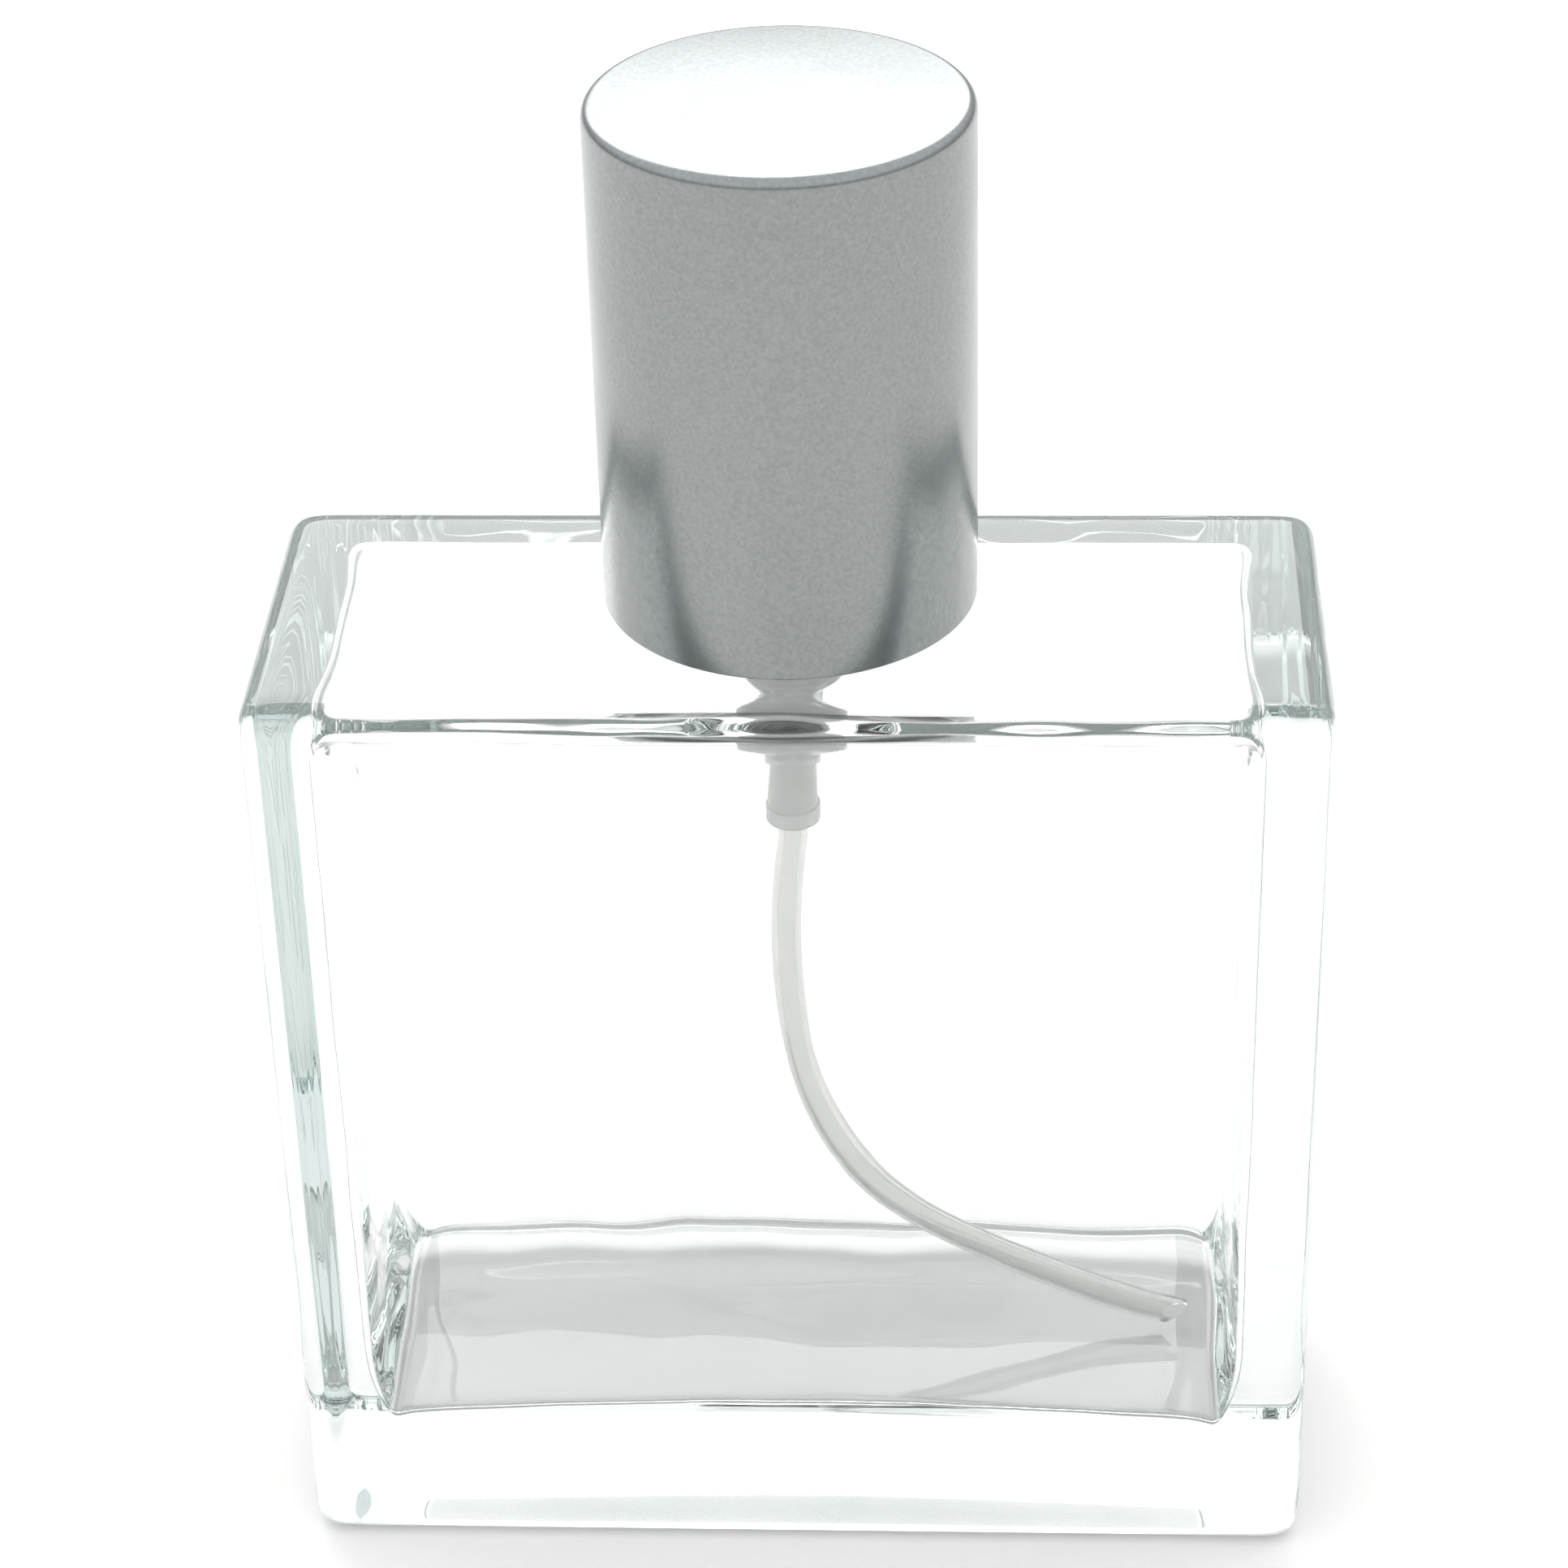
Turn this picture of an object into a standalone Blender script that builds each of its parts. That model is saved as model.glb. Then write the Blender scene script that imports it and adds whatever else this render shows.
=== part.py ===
"""Aftershave bottle: a flint-glass body, a crimped spray pump and a lift-off aluminium overcap.

Metres, +Z up. The origin is the centre of the footprint on the surface that the bottle stands on,
X is the bottle's width and -Y is its front. Every turned piece shares the vertical axis.
"""

import math

import bmesh
import bpy
from mathutils import Matrix, Vector

MM = 0.001

# ---------------------------------------------------------------- clearances
SEAT_GAP = 0.3 * MM      # between faces that rest on each other
FIT_GAP = 0.3 * MM       # radial, between pieces that are pushed or pressed together
SLIDE_GAP = 0.15 * MM    # radial, between the piston and its barrel
TUBE_GAP = 0.2 * MM      # radial, between the dip tube and its socket

# ---------------------------------------------------------------- glass bottle
BOTTLE_WIDTH = 70.0 * MM
BOTTLE_DEPTH = 28.0 * MM
SHOULDER_HEIGHT = 68.5 * MM
BODY_EDGE_RADIUS = 1.8 * MM
SIDE_WALL = 4.5 * MM
FACE_WALL = 3.8 * MM
SHOULDER_WALL = 4.5 * MM
BASE_WALL = 8.6 * MM         # under the ends of the floor
FLOOR_RISE = 2.0 * MM        # the floor is pushed up by this much in the middle
CAVITY_EDGE_RADIUS = 2.6 * MM
STANDING_RIM = 4.0 * MM      # width of the rim around the recess in the base
RECESS_DEPTH = 0.6 * MM

# ---------------------------------------------------------------- neck, a crimp finish
LIP_DIAMETER = 15.0 * MM
LIP_HEIGHT = 3.2 * MM
LIP_OVERHANG = 1.05 * MM     # how far the lip stands out over the neck, with a 45 degree undercut
LIP_ROUNDING = 0.5 * MM
NECK_HEIGHT = 7.6 * MM       # shoulder to the top of the lip
NECK_FILLET = 1.5 * MM
NECK_BORE = 9.4 * MM

# ---------------------------------------------------------------- pump
GASKET_THICKNESS = 0.8 * MM
FERRULE_WALL = 0.4 * MM
FERRULE_CRIMP = 0.9 * MM     # how far the skirt is rolled in under the lip
TURRET_FLANGE = 1.0 * MM
TURRET_LATCH = 0.9 * MM      # height of the ring that holds the housing's collar up
TURRET_WALL = 0.6 * MM
TURRET_CEILING = 0.9 * MM
HOUSING_COLLAR = 1.5 * MM
HOUSING_COLLAR_REACH = 0.5 * MM
HOUSING_WALL = 0.7 * MM
HOUSING_LENGTH = 27.55 * MM
BARREL_BORE = 6.0 * MM
BARREL_FLOOR = 0.4 * MM
BARREL_CONE = 1.6 * MM
NOSE_LENGTH = 7.95 * MM
NOSE_RING = 2.2 * MM         # height of the wider ring at the top of the nose
NOSE_RING_REACH = 0.28 * MM
NOSE_WALL = 0.5 * MM
NOSE_FOOT = 1.25 * MM        # height of the bead at the nose's lower end
NOSE_FOOT_REACH = 0.12 * MM
FLOW_BORE = 1.4 * MM
FLOW_LENGTH = 1.0 * MM       # from the top of the tube's socket up to the ball's seat
BALL_DIAMETER = 2.0 * MM
BALL_LIFT = 0.6 * MM
BALL_SEAT_GAP = 0.08 * MM
STEM_GASKET = 0.6 * MM

STROKE = 4.5 * MM
STEM_DIAMETER = 3.8 * MM
STEM_BORE = 2.4 * MM
STEM_FLANGE = 0.8 * MM
STEM_ENGAGEMENT = 3.8 * MM   # length of stem held in the button
ROD_DIAMETER = 1.9 * MM      # the lower stem's shaft
ROD_PLUG = 2.0 * MM          # length of shaft pressed into the stem's bore
POPPET_DIAMETER = 4.2 * MM
POPPET_HEIGHT = 1.1 * MM
SPIGOT_LENGTH = 1.5 * MM
SPIGOT_DIAMETER = 2.6 * MM
PISTON_HEIGHT = 3.0 * MM
PISTON_LIP = 0.7 * MM        # height of each of the piston's two sealing lips
PISTON_WAIST = 0.45 * MM     # depth of the groove between them
SLIP_SPRING_LENGTH = 2.5 * MM
SLIP_SPRING_WIRE = 0.35 * MM
SLIP_SPRING_TURNS = 4
RETURN_SPRING_WIRE = 0.5 * MM
RETURN_SPRING_TURNS = 6

# ---------------------------------------------------------------- dip tube
TUBE_DIAMETER = 1.9 * MM
TUBE_WALL = 0.4 * MM
TUBE_SOCKET = 5.3 * MM       # length of tube inside the nose
TUBE_END_TO_WALL = 3.6 * MM  # from the tube's end to the side wall
TUBE_END_OVER_FLOOR = 0.9 * MM
TUBE_STRAIGHT = 1.4 * MM     # straight length under the nose
TUBE_BOW = 2.7 * MM          # pull of the curve's first handle, away from the end
TUBE_FIRST_REACH = 0.58      # share of the drop down to the first handle
TUBE_SECOND_REACH = 0.81     # share of the drop down to the second handle
TUBE_SECOND_SHIFT = 0.06     # share of the run out to the second handle
TUBE_POINTS = 22

# ---------------------------------------------------------------- button
TURRET_TO_SKIRT = 0.5 * MM
SKIRT_WALL = 0.8 * MM
SKIRT_TO_FERRULE = 0.6 * MM  # left under the skirt at full stroke
SOCKET_WALL = 1.0 * MM
SOCKET_TO_TURRET = 0.4 * MM  # left under the stem's socket at full stroke
SOCKET_DEPTH = 4.1 * MM
WEB_RISE = 1.8 * MM          # from the socket's mouth up to the web
BUTTON_HEIGHT = 12.0 * MM
BUTTON_ROUNDING = 0.5 * MM
CHANNEL_DIAMETER = 1.2 * MM
INSERT_DIAMETER = 4.0 * MM
INSERT_LENGTH = 3.0 * MM
INSERT_FACE = 0.7 * MM
INSERT_WALL = 0.7 * MM
INSERT_COVER = 0.8 * MM      # left in the button above the insert's pocket
INSERT_RECESS = 0.2 * MM     # the insert's face sits this far inside the sleeve's surface
ORIFICE_DIAMETER = 0.4 * MM
SLEEVE_WALL = 0.35 * MM

# ---------------------------------------------------------------- collar
COLLAR_OPENING_GAP = 0.4 * MM
COLLAR_LIP = 0.8 * MM        # least width of the collar's top lip
COLLAR_OVER_SKIRT = 0.6 * MM
COLLAR_LINER_WALL = 0.9 * MM
COLLAR_LINER_GAP = 0.2 * MM
COLLAR_WALL = 0.4 * MM
COLLAR_LINER_RECESS = 0.3 * MM
COLLAR_LEDGE = 0.8 * MM
COLLAR_SNAP = 0.7 * MM

# ---------------------------------------------------------------- overcap
CAP_OVER_SHOULDER = 1.6 * MM
CAP_HEADROOM = 5.3 * MM      # from the pump's top to the liner's ceiling
CAP_WALL = 0.5 * MM
CAP_EDGE_RADIUS = 0.7 * MM
CAP_LINER_WALL = 0.7 * MM
CAP_LINER_TOP = 1.2 * MM
CAP_LINER_RECESS = 0.7 * MM
CAP_LEDGE = 1.2 * MM
CAP_LEDGE_REACH = 1.0 * MM   # how far the ledge reaches in over the collar's top
GRIP_RIBS = 12
GRIP_RIB_HEIGHT = 0.5 * MM
GRIP_RIB_WIDTH = 1.0 * MM
GRIP_RIB_MARGIN = 1.0 * MM   # from the ribs' ends to the liner's mouth and ledge

# ---------------------------------------------------------------- faceting
OUTER_SIDES = 36
INNER_SIDES = 24
ARC_STEPS = 4
WELD = 0.001 * MM
OVERCUT = 1.0 * MM           # how far a cutter runs past what it cuts

# ---------------------------------------------------------------- derived heights
lip_top = SHOULDER_HEIGHT + NECK_HEIGHT
lip_edge = lip_top - LIP_HEIGHT
gasket_low = lip_top + SEAT_GAP
turret_low = gasket_low + GASKET_THICKNESS + SEAT_GAP
ferrule_plate_low = turret_low + TURRET_FLANGE + SEAT_GAP
ferrule_top = ferrule_plate_low + FERRULE_WALL
housing_collar_low = turret_low + TURRET_LATCH + SEAT_GAP
housing_top = housing_collar_low + HOUSING_COLLAR
stem_gasket_low = housing_top + SEAT_GAP
turret_ceiling_low = stem_gasket_low + STEM_GASKET + SEAT_GAP
turret_top = turret_ceiling_low + TURRET_CEILING
nose_end = housing_top - HOUSING_LENGTH
nose_top = nose_end + NOSE_LENGTH
barrel_low = nose_top + BARREL_CONE
barrel_floor = barrel_low + BARREL_FLOOR
socket_top = nose_end + TUBE_SOCKET

stem_flange_top = stem_gasket_low - SEAT_GAP
stem_low = stem_flange_top - STEM_FLANGE
slip_spring_top = stem_low - SEAT_GAP
slip_spring_low = slip_spring_top - SLIP_SPRING_LENGTH
piston_top = slip_spring_low - SEAT_GAP
piston_low = piston_top - PISTON_HEIGHT
poppet_top = piston_low - SEAT_GAP
poppet_low = poppet_top - POPPET_HEIGHT
return_spring_top = poppet_low - SEAT_GAP
return_spring_low = barrel_floor + SEAT_GAP

skirt_low = ferrule_top + SKIRT_TO_FERRULE + STROKE
socket_low = turret_top + SOCKET_TO_TURRET + STROKE
socket_ceiling = socket_low + SOCKET_DEPTH
stem_top = socket_low + STEM_ENGAGEMENT
web_low = socket_low + WEB_RISE
button_top = skirt_low + BUTTON_HEIGHT
insert_axis = button_top - INSERT_COVER - INSERT_DIAMETER / 2 - FIT_GAP
sleeve_top = button_top + SEAT_GAP + SLEEVE_WALL
sleeve_low = skirt_low + SEAT_GAP

collar_low = SHOULDER_HEIGHT + SEAT_GAP
collar_top = skirt_low + COLLAR_OVER_SKIRT
collar_liner_low = collar_low + COLLAR_LINER_RECESS
collar_liner_top = collar_top - COLLAR_WALL - SEAT_GAP

cap_low = SHOULDER_HEIGHT + CAP_OVER_SHOULDER
cap_ceiling = sleeve_top + CAP_HEADROOM
cap_liner_top = cap_ceiling + CAP_LINER_TOP
cap_top = cap_liner_top + SEAT_GAP + CAP_WALL
cap_liner_low = cap_low + CAP_LINER_RECESS
cap_ledge_low = collar_top + SEAT_GAP

# ---------------------------------------------------------------- derived radii
lip_radius = LIP_DIAMETER / 2
neck_radius = lip_radius - LIP_OVERHANG
bore_radius = NECK_BORE / 2
ferrule_bore = lip_radius + FIT_GAP
ferrule_radius = ferrule_bore + FERRULE_WALL

barrel_radius = BARREL_BORE / 2
housing_radius = barrel_radius + HOUSING_WALL
housing_collar_radius = housing_radius + HOUSING_COLLAR_REACH
tube_radius = TUBE_DIAMETER / 2
socket_radius = tube_radius + TUBE_GAP
nose_radius = socket_radius + NOSE_WALL
nose_ring_radius = nose_radius + NOSE_RING_REACH
nose_foot_radius = nose_radius + NOSE_FOOT_REACH
turret_bore = housing_collar_radius + FIT_GAP
turret_radius = turret_bore + TURRET_WALL
turret_latch_radius = housing_radius + FIT_GAP
turret_flange_radius = ferrule_bore - FIT_GAP

stem_radius = STEM_DIAMETER / 2
stem_guide_radius = stem_radius + FIT_GAP
rod_radius = ROD_DIAMETER / 2
rod_bore = rod_radius + FIT_GAP

skirt_bore = turret_radius + TURRET_TO_SKIRT
button_radius = skirt_bore + SKIRT_WALL
sleeve_bore = button_radius + FIT_GAP
sleeve_radius = sleeve_bore + SLEEVE_WALL
insert_radius = INSERT_DIAMETER / 2
insert_bore = insert_radius + FIT_GAP
insert_front = sleeve_radius - INSERT_RECESS

opening_radius = sleeve_radius + COLLAR_OPENING_GAP
collar_liner_bore = max(ferrule_radius + COLLAR_LINER_GAP, opening_radius + COLLAR_LIP)
collar_liner_radius = collar_liner_bore + COLLAR_LINER_WALL
collar_bore = collar_liner_radius + COLLAR_LINER_GAP
collar_radius = collar_bore + COLLAR_WALL

grip_radius = collar_radius + FIT_GAP
cap_liner_bore = grip_radius + GRIP_RIB_HEIGHT
cap_liner_radius = cap_liner_bore + CAP_LINER_WALL
cap_bore = cap_liner_radius + FIT_GAP
cap_radius = cap_bore + CAP_WALL

# ---------------------------------------------------------------- inlet valve
# The ball rests in a 45 degree cone that opens from the flow bore to the ball's chamber.
ball_radius = BALL_DIAMETER / 2
flow_radius = FLOW_BORE / 2
chamber_radius = ball_radius + FIT_GAP
ball_stop_radius = ball_radius - FIT_GAP / 2
seat_low = socket_top + FLOW_LENGTH
seat_top = seat_low + chamber_radius - flow_radius
ball_rest = seat_low - flow_radius + ball_radius * math.sqrt(2) + BALL_SEAT_GAP
chamber_top = ball_rest + ball_radius + BALL_LIFT + BALL_SEAT_GAP

# ---------------------------------------------------------------- colours and finishes
FLINT_GLASS = ("flint_glass", (0.86, 0.90, 0.89), 0.03, 0.0)
ALUMINIUM = ("anodised_aluminium", (0.60, 0.63, 0.64), 0.32, 1.0)
CLEAR_PLASTIC = ("natural_polypropylene", (0.84, 0.85, 0.83), 0.35, 0.0)
WHITE_PLASTIC = ("white_acetal", (0.88, 0.88, 0.86), 0.40, 0.0)
SPRING_STEEL = ("spring_steel", (0.62, 0.62, 0.63), 0.25, 1.0)
RUBBER = ("gasket_rubber", (0.80, 0.80, 0.78), 0.70, 0.0)


def material_of(finish):
    name, colour, roughness, metallic = finish
    material = bpy.data.materials.get(name) or bpy.data.materials.new(name)
    material.use_nodes = True
    material.diffuse_color = (*colour, 1.0)
    shader = material.node_tree.nodes["Principled BSDF"]
    shader.inputs["Base Color"].default_value = (*colour, 1.0)
    shader.inputs["Roughness"].default_value = roughness
    shader.inputs["Metallic"].default_value = metallic
    if finish is FLINT_GLASS:
        shader.inputs["Transmission Weight"].default_value = 1.0
    return material


def clear_scene():
    for thing in list(bpy.data.objects):
        bpy.data.objects.remove(thing, do_unlink=True)


def new_collection(name):
    collection = bpy.data.collections.new(name)
    bpy.context.scene.collection.children.link(collection)
    return collection


def add_object(name, data, finish=None):
    """A part when it has a finish, and otherwise a cutter, which isn't built."""
    thing = bpy.data.objects.new(name, data)
    if finish is None:
        cutters.objects.link(thing)
        thing.hide_render = True
        thing.display_type = "WIRE"
    else:
        parts.objects.link(thing)
        data.materials.append(material_of(finish))
    return thing


def arc(centre, radius, start, end, steps=ARC_STEPS):
    """Points along an arc in the (radius, height) plane, angles in degrees."""
    points = []
    for step in range(steps + 1):
        angle = math.radians(start + (end - start) * step / steps)
        points.append((centre[0] + radius * math.cos(angle), centre[1] + radius * math.sin(angle)))
    return points


def turned(name, outline, finish=None, sides=OUTER_SIDES):
    """A turned piece. The outline runs down its outer side. It starts and ends on the axis, or is a loop."""
    mesh = bpy.data.meshes.new(name)
    count = len(outline)
    on_axis = outline[0][0] == 0 and outline[-1][0] == 0
    edges = [(i, i + 1) for i in range(count - 1)]
    if not on_axis:
        edges.append((count - 1, 0))
    mesh.from_pydata([(radius, 0, height) for radius, height in outline], edges, [])
    thing = add_object(name, mesh, finish)
    screw = thing.modifiers.new("Turn", "SCREW")
    screw.axis = "Z"
    screw.steps = sides
    screw.render_steps = sides
    screw.use_merge_vertices = True
    screw.merge_threshold = WELD
    screw.use_smooth_shade = False
    return thing


def ring(name, inner, outer, low, high, finish=None, sides=OUTER_SIDES):
    return turned(name, [(outer, high), (outer, low), (inner, low), (inner, high)], finish, sides)


def rounded_box(name, size, centre, radius, segments, finish=None):
    mesh = bpy.data.meshes.new(name)
    box = bmesh.new()
    bmesh.ops.create_cube(box, size=1.0)
    bmesh.ops.scale(box, vec=Vector(size), verts=box.verts)
    bmesh.ops.translate(box, vec=Vector(centre), verts=box.verts)
    box.to_mesh(mesh)
    box.free()
    thing = add_object(name, mesh, finish)
    bevel = thing.modifiers.new("Round", "BEVEL")
    bevel.width = radius
    bevel.segments = segments
    bevel.limit_method = "ANGLE"
    return thing


def boolean(thing, other, operation):
    modifier = thing.modifiers.new(operation.title() + " " + other.name, "BOOLEAN")
    modifier.operation = operation
    modifier.object = other
    modifier.solver = "EXACT"


# ---------------------------------------------------------------- glass

def floor_height(x):
    """Height of the cavity's floor: a low arch across the bottle's width."""
    half_width = BOTTLE_WIDTH / 2 - SIDE_WALL
    return BASE_WALL + FLOOR_RISE * (1 - min(abs(x) / half_width, 1.0) ** 2)


def cavity_cutter():
    """The hollow inside the glass, with its floor arched and all its edges rounded."""
    columns = 8
    width = BOTTLE_WIDTH - 2 * SIDE_WALL
    depth = BOTTLE_DEPTH - 2 * FACE_WALL
    ceiling = SHOULDER_HEIGHT - SHOULDER_WALL
    mesh = bpy.data.meshes.new("cavity_cutter")
    hollow = bmesh.new()
    bmesh.ops.create_cube(hollow, size=1.0)
    bmesh.ops.scale(hollow, vec=Vector((width, depth, 1.0)), verts=hollow.verts)
    lengthwise = [edge for edge in hollow.edges if abs(edge.verts[0].co.x - edge.verts[1].co.x) > WELD]
    bmesh.ops.subdivide_edges(hollow, edges=lengthwise, cuts=columns - 1, use_grid_fill=True)
    for vert in hollow.verts:
        vert.co.z = ceiling if vert.co.z > 0 else floor_height(vert.co.x)
    hollow.to_mesh(mesh)
    hollow.free()
    cutter = add_object("cavity_cutter", mesh)
    bevel = cutter.modifiers.new("Round", "BEVEL")
    bevel.width = CAVITY_EDGE_RADIUS
    bevel.segments = 3
    bevel.limit_method = "ANGLE"
    return cutter


def build_bottle():
    bottle = rounded_box(
        "glass_bottle",
        (BOTTLE_WIDTH, BOTTLE_DEPTH, SHOULDER_HEIGHT),
        (0, 0, SHOULDER_HEIGHT / 2),
        BODY_EDGE_RADIUS,
        3,
        FLINT_GLASS,
    )
    root = SHOULDER_HEIGHT - SHOULDER_WALL / 2
    neck = turned(
        "neck_blank",
        [(0, lip_top)]
        + arc((lip_radius - LIP_ROUNDING, lip_top - LIP_ROUNDING), LIP_ROUNDING, 90, 0)
        + [(lip_radius, lip_edge), (neck_radius, lip_edge - LIP_OVERHANG)]
        + arc((neck_radius + NECK_FILLET, SHOULDER_HEIGHT + NECK_FILLET), NECK_FILLET, 180, 270)
        + [(neck_radius + NECK_FILLET, root), (0, root)],
    )
    bore = turned(
        "bore_cutter",
        [
            (0, lip_top + OVERCUT),
            (bore_radius, lip_top + OVERCUT),
            (bore_radius, SHOULDER_HEIGHT - SHOULDER_WALL - OVERCUT),
            (0, SHOULDER_HEIGHT - SHOULDER_WALL - OVERCUT),
        ],
    )
    recess = rounded_box(
        "recess_cutter",
        (BOTTLE_WIDTH - 2 * STANDING_RIM, BOTTLE_DEPTH - 2 * STANDING_RIM, 2 * RECESS_DEPTH),
        (0, 0, 0),
        RECESS_DEPTH / 2,
        1,
    )
    recess.modifiers["Round"].limit_method = "NONE"
    boolean(bottle, neck, "UNION")
    boolean(bottle, cavity_cutter(), "DIFFERENCE")
    boolean(bottle, bore, "DIFFERENCE")
    boolean(bottle, recess, "DIFFERENCE")


# ---------------------------------------------------------------- what is crimped on to the neck

def build_neck_fittings():
    ring(
        "neck_gasket",
        bore_radius,
        lip_radius - LIP_ROUNDING,
        gasket_low,
        gasket_low + GASKET_THICKNESS,
        RUBBER,
    )

    hole = turret_radius + FIT_GAP
    skirt_low_edge = lip_edge - SEAT_GAP
    crimp_low = skirt_low_edge - FERRULE_CRIMP
    turned(
        "crimp_ferrule",
        [(hole, ferrule_top)]
        + arc((ferrule_radius - FERRULE_WALL, ferrule_top - FERRULE_WALL), FERRULE_WALL, 90, 0, 2)
        + [
            (ferrule_radius, skirt_low_edge),
            (ferrule_radius - FERRULE_CRIMP, crimp_low),
            (ferrule_bore - FERRULE_CRIMP, crimp_low + FERRULE_WALL / 2),
            (ferrule_bore, skirt_low_edge + FERRULE_WALL / 2),
            (ferrule_bore, ferrule_plate_low),
            (hole, ferrule_plate_low),
        ],
        ALUMINIUM,
    )

    turned(
        "turret",
        [
            (stem_guide_radius, turret_top),
            (turret_radius, turret_top),
            (turret_radius, turret_low + TURRET_FLANGE),
            (turret_flange_radius, turret_low + TURRET_FLANGE),
            (turret_flange_radius, turret_low),
            (turret_latch_radius, turret_low),
            (turret_latch_radius, turret_low + TURRET_LATCH),
            (turret_bore, turret_low + TURRET_LATCH),
            (turret_bore, turret_ceiling_low),
            (stem_guide_radius, turret_ceiling_low),
        ],
        WHITE_PLASTIC,
    )
    ring(
        "stem_gasket",
        stem_guide_radius,
        housing_collar_radius,
        stem_gasket_low,
        stem_gasket_low + STEM_GASKET,
        RUBBER,
        INNER_SIDES,
    )


# ---------------------------------------------------------------- pump housing, ball and dip tube

def build_housing():
    turned(
        "pump_housing",
        [
            (barrel_radius, housing_top),
            (housing_collar_radius, housing_top),
            (housing_collar_radius, housing_collar_low),
            (housing_radius, housing_collar_low),
            (housing_radius, barrel_low),
            (nose_ring_radius, nose_top),
            (nose_ring_radius, nose_top - NOSE_RING),
            (nose_radius, nose_top - NOSE_RING),
            (nose_radius, nose_end + NOSE_FOOT),
            (nose_foot_radius, nose_end + NOSE_FOOT),
            (nose_foot_radius, nose_end),
            (socket_radius, nose_end),
            (socket_radius, socket_top),
            (flow_radius, socket_top),
            (flow_radius, seat_low),
            (chamber_radius, seat_top),
            (chamber_radius, chamber_top),
            (ball_stop_radius, chamber_top),
            (ball_stop_radius, barrel_floor),
            (barrel_radius, barrel_floor),
        ],
        CLEAR_PLASTIC,
        INNER_SIDES,
    )


def build_ball():
    mesh = bpy.data.meshes.new("inlet_ball")
    ball = bmesh.new()
    bmesh.ops.create_uvsphere(ball, u_segments=16, v_segments=8, radius=ball_radius)
    ball.to_mesh(mesh)
    ball.free()
    mesh.shade_smooth()
    add_object("inlet_ball", mesh, SPRING_STEEL).location.z = ball_rest


def curve_object(name, points, radius, resolution, capped, finish):
    curve = bpy.data.curves.new(name, "CURVE")
    curve.dimensions = "3D"
    curve.bevel_depth = radius
    curve.bevel_resolution = resolution
    curve.use_fill_caps = capped
    spline = curve.splines.new("POLY")
    spline.points.add(len(points) - 1)
    for place, point in zip(spline.points, points):
        place.co = (*point, 1.0)
    return add_object(name, curve, finish)


def tube_route():
    """From inside the nose straight down, then one sweep to the low corner on the +X side."""
    start = Vector((0, 0, nose_end - TUBE_STRAIGHT))
    end_x = BOTTLE_WIDTH / 2 - SIDE_WALL - TUBE_END_TO_WALL
    end = Vector((end_x, 0, floor_height(end_x) + tube_radius + TUBE_END_OVER_FLOOR))
    drop = start.z - end.z
    first = Vector((-TUBE_BOW, 0, start.z - TUBE_FIRST_REACH * drop))
    second = Vector((TUBE_SECOND_SHIFT * end.x, 0, start.z - TUBE_SECOND_REACH * drop))
    points = [Vector((0, 0, socket_top - SEAT_GAP)), Vector((0, 0, nose_end))]
    for step in range(TUBE_POINTS):
        t = step / (TUBE_POINTS - 1)
        s = 1 - t
        points.append(s**3 * start + 3 * s**2 * t * first + 3 * s * t**2 * second + t**3 * end)
    return points


def build_dip_tube():
    tube = curve_object("dip_tube", tube_route(), tube_radius, 3, False, CLEAR_PLASTIC)
    wall = tube.modifiers.new("Wall", "SOLIDIFY")
    wall.thickness = TUBE_WALL
    wall.offset = -1
    wall.use_even_offset = True


# ---------------------------------------------------------------- springs

def coil_points(radius, low, high, wire, turns, steps=12):
    """A compression spring's centre line: a closed turn at each end and an even pitch between."""
    closed = 1.15 * wire
    low_centre = low + wire / 2
    high_centre = high - wire / 2
    pitch = (high_centre - low_centre - 2 * closed) / (turns - 2)
    points = []
    for step in range(turns * steps + 1):
        turn = step / steps
        if turn <= 1:
            height = low_centre + closed * turn
        elif turn >= turns - 1:
            height = high_centre - closed * (turns - turn)
        else:
            height = low_centre + closed + pitch * (turn - 1)
        angle = 2 * math.pi * turn
        points.append((radius * math.cos(angle), radius * math.sin(angle), height))
    return points


def build_springs():
    spigot_to_coil = SPIGOT_DIAMETER / 2 + FIT_GAP + RETURN_SPRING_WIRE / 2
    points = coil_points(
        spigot_to_coil, return_spring_low, return_spring_top, RETURN_SPRING_WIRE, RETURN_SPRING_TURNS
    )
    curve_object("return_spring", points, RETURN_SPRING_WIRE / 2, 2, True, SPRING_STEEL)

    rod_to_coil = rod_radius + FIT_GAP + SLIP_SPRING_WIRE / 2
    points = coil_points(rod_to_coil, slip_spring_low, slip_spring_top, SLIP_SPRING_WIRE, SLIP_SPRING_TURNS)
    curve_object("precompression_spring", points, SLIP_SPRING_WIRE / 2, 2, True, SPRING_STEEL)


# ---------------------------------------------------------------- stem and piston

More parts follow.
